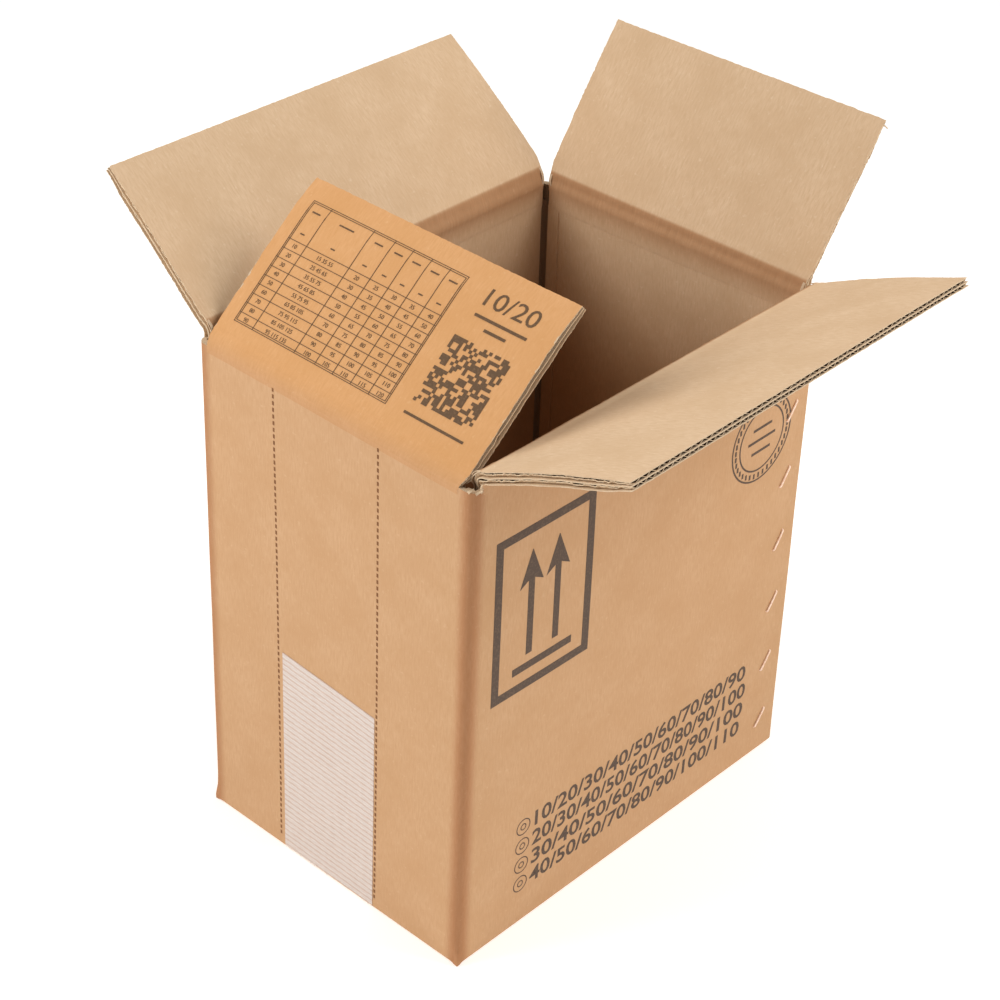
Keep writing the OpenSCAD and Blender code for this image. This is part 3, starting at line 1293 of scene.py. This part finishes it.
    def tab(self) -> bpy.types.Object:
        """Builds the stitched tab inside the front wall."""
        board = self.gauge.thickness
        tab = add_box(
            Vector((self.inner_l - self.tab_width, -self.inner_w - 0.5 * MM, board)),
            Vector((self.inner_l + 0.5 * MM, board - self.inner_w, self.top - 9 * MM)))
        cut_planes(tab, Vector((1, 0, 0)), steps(self.inner_l - self.tab_width, self.inner_l, 8))
        cut_planes(tab, UP, steps(0, self.top, 16))
        dress(tab, self.finishes.inner, self.finishes.cut)
        for face in tab.data.polygons:
            face.material_index = 1 if face.normal.x < -0.5 or face.normal.z > 0.5 else 0
        shape(tab, self.bowed)
        return tab

    def build(self) -> bpy.types.Object:
        """Builds the walls and the tab as one piece on the carton's body."""
        piece = join("carton_walls", [self.shell(), self.tab()])
        tidy_shell(piece, 40)
        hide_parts("box_body")
        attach(piece, "carton")
        return piece


@dataclass(frozen=True)
class Curl:
    """A torn end of liner that stands off the board and curls over.

    Its way is where it sets out to, and it curls towards its bend.
    """

    at: Vector
    way: Vector
    bend: Vector
    length: float
    width: float
    turn: float


@dataclass
class TornPaper:
    """Torn ends of liner in the slots between the flaps."""

    name: str
    body: str
    slot: str
    finishes: Finishes
    curls: list[Curl]
    thickness: float = 0.35 * MM

    def build_curl(self, curl: Curl) -> bpy.types.Object:
        """Builds one torn end as a strip that rolls over."""
        sheet = add_sheet(4, 12)
        way = curl.way.normalized()
        bend = (curl.bend - way * curl.bend.dot(way)).normalized()
        side = way.cross(bend)

        def place(point: Vector) -> Vector:
            """Places one point of the strip."""
            share = point.y + 0.5
            turned = curl.turn * share
            radius = curl.length / curl.turn
            taper = 1 - 0.6 * share + 0.25 * rough(3 * share, point.x, curl.length / MM)
            spot = way * radius * math.sin(turned) + bend * radius * (1 - math.cos(turned))
            return curl.at + spot + side * point.x * curl.width * taper

        return thicken(sheet, place, self.thickness, self.finishes.cut)

    def build(self) -> bpy.types.Object:
        """Builds every torn end on its body."""
        piece = join(self.name, [self.build_curl(curl) for curl in self.curls])
        tidy_shell(piece, 60)
        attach(piece, self.body)
        return piece


@dataclass
class InnerBottomFlap:
    """One of the two inner bottom flaps, lying closed, with its open flutes inside the box."""

    side: int
    walls: Walls
    finishes: Finishes
    length: float = 104.0 * MM
    gauge: BoardGauge = BoardGauge()

    def layer(self, depth: float, thickness: float, wave: float, pitch: float, material) -> bpy.types.Object:
        """Builds one liner or wavy sheet of the flap.

        Args:
            depth: Height of its middle above the flap's lower face.
            thickness: Its own thickness.
            wave: Half the height of its waves.
            pitch: Their pitch.
            material: Its finish.

        Returns:
            The sheet.
        """
        width = 2 * (self.walls.half_w - self.gauge.thickness) - 0.6 * MM
        sheet = add_sheet(200 if wave else 60, 4)

        def place(point: Vector) -> Vector:
            """Places one point of the sheet."""
            y = point.x * width
            reach = self.length - self.gauge.thickness
            inwards = self.gauge.thickness + (point.y + 0.5) * reach
            if point.y > 0.49:
                inwards += 0.4 * MM * rough(y / (2 * MM), depth / MM, self.side)
            rise = wave * math.cos(math.tau * y / pitch) if wave else 0.0
            spot = Vector((self.side * (self.walls.half_l - inwards), y, self.gauge.thickness + depth + rise))
            spot.x += self.walls.lean(spot)
            return spot

        for corner in sheet.data.uv_layers.active.data:
            corner.uv = (corner.uv.x * width, corner.uv.y * self.length)
        return thicken(sheet, place, thickness, material)

    def build(self) -> bpy.types.Object:
        """Builds the flap on the carton's body."""
        gauge = self.gauge
        coarse = gauge.thickness - gauge.liner - gauge.coarse_height / 2
        fine = gauge.liner + gauge.fine_height / 2
        fine_swing = (gauge.fine_height - gauge.medium) / 2
        coarse_swing = (gauge.coarse_height - gauge.medium) / 2
        parts = [
            self.layer(gauge.liner / 2, gauge.liner, 0, 1, self.finishes.outer),
            self.layer(fine, gauge.medium, fine_swing, gauge.fine_pitch, self.finishes.cut),
            self.layer(gauge.middle_liner, gauge.liner, 0, 1, self.finishes.cut),
            self.layer(coarse, gauge.medium, coarse_swing, gauge.coarse_pitch, self.finishes.cut),
            self.layer(gauge.thickness - gauge.liner / 2, gauge.liner, 0, 1, self.finishes.inner),
        ]
        end = "printed_end" if self.side < 0 else "plain_end"
        piece = join(f"inner_bottom_flap_{end}", parts)
        tidy_shell(piece, 50)
        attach(piece, "carton")
        return piece


# Tape and stitches


@dataclass
class ClosureTape:
    """Filament tape along the bottom seam and up both end walls."""

    walls: Walls
    finish: bpy.types.Material
    width: float = 75.0 * MM
    shift: float = 2.5 * MM
    thickness: float = 0.3 * MM
    top: float = 145.0 * MM
    skew: float = 5.0 * MM
    bed: float = 0.35 * MM
    thread_thickness: float = 0.12 * MM

    def path(self, run: float) -> Vector:
        """Finds a place on the tape's middle line.

        Args:
            run: Distance along the tape from the middle of the base, in both directions.

        Returns:
            The place, with no width.
        """
        radius = self.walls.base_radius
        gap = self.bed - self.thickness / 2
        straight = self.walls.half_l - radius
        side = math.copysign(1.0, run)
        left = abs(run)
        if left < straight:
            return Vector((side * left, 0, gap))
        left -= straight
        bend = radius * math.pi / 2
        if left < bend:
            turn = left / radius
            grown = radius + self.bed - gap
            out = straight + grown * math.sin(turn)
            return Vector((side * out, 0, self.bed + radius - grown * math.cos(turn)))
        left -= bend
        return Vector((side * (self.walls.half_l + self.bed - gap), 0, self.bed + radius + left))

    def strip(self) -> bpy.types.Object:
        """Builds the tape itself."""
        radius = self.walls.base_radius
        reach = self.walls.half_l - radius + radius * math.pi / 2 + self.top - radius
        sheet = add_sheet(30, 260)

        def place(point: Vector) -> Vector:
            """Places one point of the tape."""
            across = point.x * self.width
            slope = self.skew * point.x * abs(point.y) * 2
            spot = self.path(point.y * 2 * (reach + slope))
            edge = 0.12 * MM * rough(point.y * 300, point.x * 2) if abs(point.x) > 0.49 else 0.0
            spot.y = self.shift + across + edge
            return self.walls.bowed(spot)

        for corner in sheet.data.uv_layers.active.data:
            corner.uv = (corner.uv.x * self.width, corner.uv.y * 2 * reach)
        return thicken(sheet, place, self.thickness, self.finish)

    def loose_threads(self) -> list[bpy.types.Object]:
        """Builds the thread ends that stand off where the tape turns under the printed end."""
        draw = random.Random(7)
        threads = []
        for i in range(22):
            y = self.shift + (i / 21 - 0.5) * (self.width - 2 * MM) + draw.uniform(-1, 1) * MM
            start = Vector((-self.walls.half_l + draw.uniform(0.6, 1.6) * MM, y, draw.uniform(2.0, 3.2) * MM))
            lean = Vector((draw.uniform(-1.0, -0.4), draw.uniform(-1.2, 1.2), draw.uniform(-1.6, -0.8)))
            length = draw.uniform(1.0, 2.2) * MM
            sheet = add_sheet(1, 5)

            def place(
                    point: Vector, start: Vector = start, lean: Vector = lean,
                    length: float = length) -> Vector:
                """Places one point of a thread, tapered to its tip."""
                along = point.y + 0.5
                across = point.x * 0.5 * MM * (1.1 - along)
                spot = start + lean.normalized() * length * along + Vector((0, across, 0))
                spot.z = max(spot.z, 0.25 * MM)
                spot.x = max(spot.x, -self.walls.half_l - 0.15 * MM)
                return spot

            threads.append(thicken(sheet, place, self.thread_thickness, self.finish))
        return threads

    def build(self) -> bpy.types.Object:
        """Builds the tape on the carton's body."""
        piece = join("filament_tape", [self.strip(), *self.loose_threads()])
        tidy_shell(piece, 60)
        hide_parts("closure_tape")
        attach(piece, "carton")
        return piece


@dataclass
class WireStitches:
    """Slanted flat-wire stitches that join the front wall to the tab."""

    walls: Walls
    finish: bpy.types.Material
    count: int = 7
    first_z: float = 28.0 * MM
    pitch: float = 46.0 * MM
    inset: float = 14.8 * MM
    span: float = 14.5 * MM
    slope: float = math.radians(53)
    wire_w: float = 2.0 * MM
    wire_t: float = 0.9 * MM
    clinch: float = 4.5 * MM
    crown: float = 0.5 * MM

    def route(self, share: float) -> tuple[float, float]:
        """Finds a place on a stitch's wire, seen from its side.

        Args:
            share: Nought at one bent-over end, one at the other.

        Returns:
            Distance along the crown's direction, and depth into the board.
        """
        half = self.span / 2
        deep = 2 * self.walls.gauge.thickness + 0.4 * MM
        corners = [(half - self.clinch, deep), (half, deep), (half, -self.crown),
                   (-half, -self.crown), (-half, deep), (self.clinch - half, deep)]
        lengths = [math.dist(a, b) for a, b in zip(corners, corners[1:])]
        run = share * sum(lengths)
        for (a, b), length in zip(zip(corners, corners[1:]), lengths):
            if run <= length:
                part = run / length
                return (a[0] + (b[0] - a[0]) * part, a[1] + (b[1] - a[1]) * part)
            run -= length
        return corners[-1]

    def stitch(self, z: float) -> bpy.types.Object:
        """Builds one stitch.

        Args:
            z: Height of its middle.

        Returns:
            The stitch.
        """
        wire = add_box(Vector((0, -0.5, -0.5)), Vector((1, 0.5, 0.5)))
        cut_planes(wire, Vector((1, 0, 0)), steps(0, 1, 60))
        middle_x = self.walls.half_l - self.inset

        def place(point: Vector) -> Vector:
            """Places one point of the wire."""
            step = 0.012
            ahead = self.route(min(1.0, point.x + step))
            behind = self.route(max(0.0, point.x - step))
            here = ((ahead[0] + behind[0]) / 2, (ahead[1] + behind[1]) / 2)
            way = Vector((ahead[0] - behind[0], ahead[1] - behind[1])).normalized()
            along = here[0] - way.y * point.y * self.wire_t
            depth = here[1] + way.x * point.y * self.wire_t
            side = point.z * self.wire_w
            x = middle_x + along * math.cos(self.slope) - side * math.sin(self.slope)
            height = z + along * math.sin(self.slope) + side * math.cos(self.slope)
            return self.walls.bowed(Vector((x, -self.walls.half_w + depth, height)))

        shape(wire, place)
        dress(wire, self.finish)
        apply_modifier(wire, "BEVEL", width=0.32 * MM, segments=3, limit_method="ANGLE")
        return wire

    def build(self) -> bpy.types.Object:
        """Builds all stitches on the carton's body."""
        stitches = [self.stitch(self.first_z + i * self.pitch) for i in range(self.count)]
        piece = join("corner_stitches", stitches)
        tidy_shell(piece, 40)
        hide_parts("wire_stitches")
        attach(piece, "carton")
        return piece


# Print


@dataclass
class Print:
    """Print on one face: flat shapes drawn in millimetres, laid on the board as thin ink."""

    name: str
    body: str
    slot: str
    lay: Callable[[float, float], Vector]
    ink: bpy.types.Material
    shapes: list[bpy.types.Object] = field(default_factory=list)

    def bar(self, x: float, y: float, width: float, height: float, slant: float = 0.0) -> None:
        """Adds a bar.

        Args:
            x: Middle, across.
            y: Middle, up.
            width: Width.
            height: Height.
            slant: How far its top leans to the right of its foot.
        """
        deselect()
        bpy.ops.mesh.primitive_plane_add(size=1)
        piece = bpy.context.object
        for vertex in piece.data.vertices:
            lean = vertex.co.y * slant
            vertex.co = Vector((x + vertex.co.x * width + lean, y + vertex.co.y * height, 0)) * MM
        self.shapes.append(piece)

    def frame(self, left: float, right: float, low: float, high: float, line: float) -> None:
        """Adds a rectangle of four bars, given by its outer edges and line width."""
        self.bar((left + right) / 2, low + line / 2, right - left, line)
        self.bar((left + right) / 2, high - line / 2, right - left, line)
        self.bar(left + line / 2, (low + high) / 2, line, high - low - 2 * line)
        self.bar(right - line / 2, (low + high) / 2, line, high - low - 2 * line)

    def ring(self, x: float, y: float, radius: float, line: float) -> None:
        """Adds a ring, given by its outer radius and line width."""
        deselect()
        bpy.ops.mesh.primitive_circle_add(vertices=72, radius=radius * MM, fill_type="NOTHING")
        bpy.ops.object.mode_set(mode="EDIT")
        bpy.ops.mesh.extrude_edges_move()
        inner = (radius - line) / radius
        bpy.ops.transform.resize(value=(inner, inner, 1))
        bpy.ops.object.mode_set(mode="OBJECT")
        piece = bpy.context.object
        piece.location = (x * MM, y * MM, 0)
        self.shapes.append(settle(piece))

    def arrow(self, x: float, foot: float, tip: float, shaft: float, head_w: float, head_h: float) -> None:
        """Adds an upright arrow with a barbed head.

        Args:
            x: Middle, across.
            foot: Lower end.
            tip: Upper end.
            shaft: Width of the shaft.
            head_w: Width of the head.
            head_h: Height of the head.
        """
        neck = tip - 0.78 * head_h
        self.bar(x, (foot + neck) / 2, shaft, neck - foot)
        for side in (-1, 1):
            deselect()
            bpy.ops.mesh.primitive_plane_add(size=1)
            piece = bpy.context.object
            spots = {(-0.5, -0.5): (0, neck), (0.5, -0.5): (side * head_w / 2, tip - head_h),
                     (-0.5, 0.5): (0, tip), (0.5, 0.5): (side * 0.3, tip - 0.3)}
            for vertex in piece.data.vertices:
                dx, y = spots[(round(vertex.co.x, 1), round(vertex.co.y, 1))]
                vertex.co = Vector((x + dx, y, 0)) * MM
            self.shapes.append(piece)

    def number(
            self, text: str, x: float, y: float, height: float, width: float = 0.0,
            bold: float = 0.0) -> None:
        """Adds plain digits.

        Args:
            text: The digits.
            x: Middle, across.
            y: Middle, up.
            height: Height of a digit.
            width: Width of them all together, or nought for the font's own.
            bold: How much thicker each stroke is, as a share of the size.
        """
        deselect()
        bpy.ops.object.text_add(location=(x * MM, y * MM, 0))
        piece = bpy.context.object
        piece.data.body = text
        piece.data.size = height * MM / 0.7
        piece.data.align_x = "CENTER"
        piece.data.align_y = "CENTER"
        piece.data.resolution_u = 3
        piece.data.offset = bold * piece.data.size
        pick(piece)
        bpy.ops.object.convert(target="MESH")
        piece = bpy.context.object
        if width:
            piece.scale.x = width * MM / piece.dimensions.x
        self.shapes.append(settle(piece))

    def build(self, bend: float = 0.0) -> bpy.types.Object:
        """Joins the shapes and lays them on the board.

        Args:
            bend: Spacing of cuts that let long bars follow a bowed face, or nought.

        Returns:
            The print.
        """
        for piece in self.shapes:
            piece.data.materials.clear()
            piece.data.materials.append(self.ink)
        piece = join(self.name, self.shapes)
        if bend:
            spots = [vertex.co.copy() for vertex in piece.data.vertices]
            for way in (Vector((1, 0, 0)), Vector((0, 1, 0))):
                low = min(spot.dot(way) for spot in spots)
                high = max(spot.dot(way) for spot in spots)
                cut_planes(piece, way, steps(low, high, max(2, int((high - low) / bend))))
        shape(piece, lambda point: self.lay(point.x, point.y))
        apply_modifier(piece, "SOLIDIFY", thickness=INK_THICKNESS, offset=0.0)
        tidy_shell(piece, 40)
        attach(piece, self.body)
        return piece


@dataclass
class WallPrint:
    """Marks on the walls: upright arrows, two rings, guide lines and rows of round numbers."""

    walls: Walls
    ink: bpy.types.Material
    guide_ink: bpy.types.Material

    def on_front(self, x: float, z: float) -> Vector:
        """Lays a point on the front wall."""
        return self.walls.bowed(Vector((x, -self.walls.half_w - INK_LIFT, z)))

    def on_printed_end(self, across: float, z: float) -> Vector:
        """Lays a point on the printed end wall; across runs to the right as seen from outside."""
        return self.walls.bowed(Vector((-self.walls.half_l - INK_LIFT, -across, z)))

    def arrows(self) -> bpy.types.Object:
        """Draws the framed pair of upright arrows over a bar."""
        mark = Print("upright_arrows", "carton", "kraft_board", self.on_front, self.ink)
        mark.frame(-125.5, -47.8, 179.5, 287, 5.6)
        mark.arrow(-97, 202.5, 271, 4.8, 18.5, 23)
        mark.arrow(-76.2, 202.5, 271, 4.8, 18.5, 23)
        mark.bar(-86, 194.6, 47, 5)
        return mark.build(bend=12 * MM)

    def rings(self) -> bpy.types.Object:
        """Draws two plain rings around a disc of short bars."""
        mark = Print("plain_rings", "carton", "kraft_board", self.on_front, self.ink)
        x, z = 101, 251.5
        mark.ring(x, z, 28.5, 1.1)
        mark.ring(x, z, 21.5, 1.1)
        for i in range(36):
            turn = math.tau * i / 36
            mark.bar(x + 24.9 * math.sin(turn), z + 24.9 * math.cos(turn), 1.6, 3.4)
        for row in (-8, 0, 8):
            mark.bar(x, z + row, 26 - abs(row), 1.8)
        return mark.build(bend=12 * MM)

    def number_rows(self) -> bpy.types.Object:
        """Draws four rows of round numbers, each after a small ring."""
        mark = Print("number_rows", "carton", "kraft_board", self.on_front, self.ink)
        for row in range(4):
            middle = 75.8 - row * 14.6
            left, right = -85.0, (108.5, 111.5, 110.5, 109.5)[row]
            mark.ring(-93.2, middle, 5.8, 0.7)
            mark.ring(-93.2, middle, 2.4, 0.7)
            count = "/".join(str(10 * (i + row)) for i in range(1, 10 - row // 2))
            mark.number(count, (left + right) / 2, middle, 10.8, width=right - left, bold=0.018)
        return mark.build(bend=14 * MM)

    def guide_lines(self) -> bpy.types.Object:
        """Draws the two dashed lines that guide the tape."""
        mark = Print("tape_guides", "carton", "kraft_board", self.on_printed_end, self.guide_ink)
        for across in (-43.6, 36.6):
            for i in range(75):
                mark.bar(across, 10.5 + i * 4.2, 1.35, 2.5)
        return mark.build()

    def build(self) -> list[bpy.types.Object]:
        """Draws every mark on the walls."""
        return [self.arrows(), self.rings(), self.number_rows(), self.guide_lines()]


@dataclass
class FlapPrint:
    """Print on the printed end flap: a ruled table, a block pattern, a number and short bars."""

    board: FlapBoard
    ink: bpy.types.Material

    def on_flap(self, u: float, v: float) -> Vector:
        """Lays a point on the flap's outer face."""
        return self.board.spot(u, v, -FLAP_INK_LIFT)

    def table(self) -> bpy.types.Object:
        """Draws the ruled table with plain round numbers in its cells."""
        sheet = Print("ruled_table", "printed_end", "printed_flap_board", self.on_flap, self.ink)
        left, right, low, high = -88.0, 29.0, 17.0, 97.0
        rule = 0.42
        sheet.frame(left, right, low, high, rule)
        sheet.frame(left + 1.1, right - 1.1, low + 1.1, high - 1.1, rule)
        head = high - 25.4
        rows = 9
        step = (head - low) / rows
        columns = [-73.5, -40.5, -24.5, -11.0, 2.5, 16.0]
        for row in range(rows):
            sheet.bar((left + right) / 2, head - row * step, right - left, rule)
        for column in columns:
            sheet.bar(column, (low + high) / 2, rule, high - low)
        edges = [left, *columns, right]
        middles = [(a + b) / 2 for a, b in zip(edges, edges[1:])]
        for row in range(rows):
            y = head - (row + 0.5) * step
            for place, x in enumerate(middles):
                value = 10 * (row + 1) + place * 5
                text = f"{value} {value + 20} {value + 40}" if place == 1 else str(value)
                sheet.number(text, x, y, 2.5)
        for place, x in enumerate(middles):
            sheet.bar(x, high - 6.5, 6.0 + 5 * (place == 1), 0.9)
            sheet.bar(x, head + 5, 3.2, 0.8)
        return sheet.build(bend=7 * MM)

    def blocks(self) -> bpy.types.Object:
        """Draws a square field of blocks, some inked and some bare, with short bars around it."""
        sheet = Print("block_pattern", "printed_end", "printed_flap_board", self.on_flap, self.ink)
        size = 40.5 * MM
        cells = 21
        grid = add_sheet(cells, cells)
        draw = random.Random(21)
        start_choice("FACE")
        for face in grid.data.polygons:
            column = int((face.center.x + 0.5) * cells)
            row = int((face.center.y + 0.5) * cells)
            blank = (column // 3 + row // 3) % 5 == 0
            face.select = draw.random() > (0.25 if blank else 0.62)
        bpy.ops.object.mode_set(mode="EDIT")
        bpy.ops.mesh.delete(type="FACE")
        bpy.ops.object.mode_set(mode="OBJECT")
        shape(grid, lambda point: Vector((62.2 * MM + point.x * size, 46.3 * MM + point.y * size, 0)))
        sheet.shapes.append(grid)
        sheet.number("10/20", 62.4, 91.3, 10.4, width=36)
        sheet.bar(63.5, 80.6, 36, 1.7)
        sheet.bar(63.5, 75.0, 15, 1.7)
        sheet.bar(62.4, 18.6, 42, 1.5)
        return sheet.build(bend=7 * MM)

    def build(self) -> list[bpy.types.Object]:
        """Draws everything on the flap."""
        return [self.table(), self.blocks()]


# Stage


@dataclass
class Studio:
    """Pale floor, soft lights and the camera."""

    camera_at: Vector = Vector((-884.31, -781.51, 991.95)) * MM
    azimuth: float = math.radians(-48.30)
    elevation: float = math.radians(33.66)
    roll: float = math.radians(2.43)
    focal_pixels: float = 2408.0
    picture_pixels: float = 1000.0
    sensor: float = 36.0

    def camera(self) -> None:
        """Adds the camera at the photograph's place."""
        data = bpy.data.cameras.new("camera")
        data.sensor_width = self.sensor
        data.sensor_fit = "HORIZONTAL"
        data.lens = self.sensor * self.focal_pixels / self.picture_pixels
        data.clip_end = 50
        camera = bpy.data.objects.new("camera", data)
        bpy.context.scene.collection.objects.link(camera)
        forward = Vector((
            -math.sin(self.azimuth) * math.cos(self.elevation),
            math.cos(self.azimuth) * math.cos(self.elevation),
            -math.sin(self.elevation)))
        turn = forward.to_track_quat("-Z", "Y").to_matrix() @ Matrix.Rotation(self.roll, 3, "Z")
        camera.matrix_world = Matrix.Translation(self.camera_at) @ turn.to_4x4()
        bpy.context.scene.camera = camera

    def lights(self) -> None:
        """Adds the soft lights and the pale surroundings."""
        for name, place, size, power in (
                ("left_softbox", (-1.15, 0.92, 1.25), 1.1, 20.0),
                ("right_softbox", (0.88, -1.08, 1.45), 1.1, 20.0)):
            data = bpy.data.lights.new(name, "AREA")
            data.size = size
            data.energy = power
            light = bpy.data.objects.new(name, data)
            bpy.context.scene.collection.objects.link(light)
            light.location = place
            light.rotation_euler = (Vector((0, 0, 0.2)) - Vector(place)).to_track_quat("-Z", "Y").to_euler()
        world = bpy.data.worlds.new("studio")
        world.use_nodes = True
        world.node_tree.nodes["Background"].inputs["Color"].default_value = linear("#FBFAF8")
        world.node_tree.nodes["Background"].inputs["Strength"].default_value = 0.42
        bpy.context.scene.world = world

    def floor(self) -> None:
        """Adds the floor."""
        deselect()
        bpy.ops.mesh.primitive_plane_add(size=12, location=(0, 0, 0))
        plane = settle(bpy.context.object)
        plane.name = "studio_floor"
        dress(plane, StudioFloor().build())

    def build(self) -> None:
        """Sets up the studio."""
        bpy.context.scene.view_settings.view_transform = "Standard"
        self.camera()
        self.lights()
        self.floor()


# The whole carton


@dataclass(frozen=True)
class FlapPlan:
    """What tells one top flap from the others."""

    side: Side
    node: str
    body: str
    joint: str
    slot: str
    angle: float
    warp: Warp
    length: float = 105.5 * MM


FLAPS = (
    FlapPlan(
        Side.PRINTED_END, "printed_end_flap", "printed_end", "printed_end_crease", "printed_flap_board", -48,
        Warp(lift=2.7 * MM, longer=4.0 * MM, slot=(1.0 * MM, 3.5 * MM), slot_end=(12 * MM, 6 * MM))),
    FlapPlan(
        Side.PLAIN_END, "plain_end_flap", "plain_end", "plain_end_crease", "inner_board", 32,
        Warp(lift=-4.0 * MM, longer=-1.2 * MM, slot=(1.5 * MM, 3.0 * MM), taper=(-1.5 * MM, 0.0),
             slant=(2.6 * MM, 0.0))),
    FlapPlan(
        Side.FRONT, "front_long_flap", "front_long", "front_long_crease", "inner_board", 66,
        Warp(arch=1.3 * MM, lift=-1.9 * MM, twist=0.9 * MM, slot=(3.5 * MM, 2.0 * MM),
             slot_end=(3 * MM, 12 * MM))),
    FlapPlan(
        Side.BACK, "back_long_flap", "back_long", "back_long_crease", "inner_board", 51,
        Warp(lift=-5.0 * MM, twist=1.2 * MM, slot=(5.0 * MM, 1.0 * MM), taper=(-2.5 * MM, 5.0 * MM))),
)


def find_crease(plan: FlapPlan) -> Crease:
    """Finds a flap's crease from its joint in the frame.

    Args:
        plan: The flap.

    Returns:
        The crease.
    """
    joint = next(j for j in frame["joints"] if j["name"] == plan.joint)
    pivot, axis, angle = Vector(joint["pos_m"]), Vector(joint["axis"]), math.radians(plan.angle)
    if angle < 0:
        return Crease(pivot, axis, angle)
    spread = 0.9 * (1 - 1 / math.cos(angle / 2))
    return Crease(
        pivot, axis, angle, reach=2.2 * MM, crush=spread, crush_up=4 * MM, crush_down=4 * MM,
        groove=1.1 * MM, groove_spot=0.4 * MM)


def flap_width(plan: FlapPlan) -> float:
    """Finds a flap's width from its solid in the frame."""
    low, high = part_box(plan.node)
    along = 0 if plan.side in (Side.FRONT, Side.BACK) else 1
    return high[along] - low[along]


def plan_board(
        plan: FlapPlan, crease: Crease, finishes: Finishes, rack: Rack, order: int) -> FlapBoard:
    """Plans the board of one top flap.

    Args:
        plan: The flap.
        crease: Its crease.
        finishes: The materials.
        rack: How the carton stands out of square.
        order: Its number, which sets its fraying apart from the others'.

    Returns:
        The flap's board, ready to build.
    """
    printed = plan.side is Side.PRINTED_END
    return FlapBoard(
        plan.node, plan.body, plan.slot, crease, flap_width(plan), plan.length + plan.warp.longer,
        finishes.printed if printed else finishes.outer, finishes, rack, plan.warp,
        recess=1.2 * MM if printed else 0.0, wrinkle=1.0 if printed else 0.0, seed=3.7 * order)


def torn_ends(walls: Walls, plain: FlapBoard, finishes: Finishes) -> list[TornPaper]:
    """Plans the torn ends of liner in the slot of the front corner and on the plain flap.

    Args:
        walls: The walls.
        plain: Board of the plain end flap.
        finishes: The materials.

    Returns:
        The torn ends, one set for each body.
    """
    corner = Vector((-walls.half_l, -walls.half_w, walls.top))
    tip = plain.spot(1.5 * MM - plain.half_width(-1, plain.length, 5 * MM), plain.length - 3 * MM, 5 * MM)
    slot_ends = [
        Curl(corner + Vector((6.4, -0.2, -1.0)) * MM, Vector((-0.35, 0.15, 1.0)), Vector((0, -1, 0)),
             9 * MM, 1.7 * MM, 0.9),
        Curl(corner + Vector((2.2, 0.5, -0.4)) * MM, Vector((1.0, -0.3, 0.3)), Vector((0, -0.7, 0.7)),
             5 * MM, 1.5 * MM, 1.5),
        Curl(corner + Vector((0.4, 4.0, -0.3)) * MM, Vector((0.0, -0.6, 0.8)), Vector((1, 0, 0)),
             4 * MM, 1.6 * MM, 1.6),
    ]
    shred = Curl(tip, Vector((0.2, -1.0, 0.0)), Vector((0, 0, -1)), 4.5 * MM, 1.6 * MM, 0.8)
    return [
        TornPaper("torn_slot_liner", "carton", "kraft_board", finishes, slot_ends),
        TornPaper("torn_flap_liner", "plain_end", "inner_board", finishes, [shred]),
    ]


def main() -> None:
    """Builds the carton piece by piece and reports each one."""
    logging.basicConfig(level=logging.INFO, format="%(name)s: %(message)s")
    finishes = Finishes()
    low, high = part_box("box_body")
    creases = {plan.side: find_crease(plan) for plan in FLAPS}
    heights = {side: crease.pivot.z for side, crease in creases.items()}
    widths = {plan.side: flap_width(plan) for plan in FLAPS}
    rack = Rack(high[0], high[1], min(heights.values()))
    walls = Walls(finishes, high[0], high[1], heights, widths, rack)
    Studio().build()
    pieces = [walls.build()]
    pieces += [InnerBottomFlap(side, walls, finishes).build() for side in (-1, 1)]
    boards = [plan_board(plan, creases[plan.side], finishes, rack, order) for order, plan in enumerate(FLAPS)]
    pieces += [board.build() for board in boards]
    pieces += [paper.build() for paper in torn_ends(walls, boards[1], finishes)]
    pieces.append(ClosureTape(walls, finishes.tape).build())
    pieces.append(WireStitches(walls, finishes.wire).build())
    pieces += WallPrint(walls, finishes.ink, finishes.guide_ink).build()
    pieces += FlapPrint(boards[0], finishes.flap_ink).build()
    for piece in pieces:
        log.info("%s: %d faces", piece.name, len(piece.data.polygons))


if __name__ == "__main__":
    main()
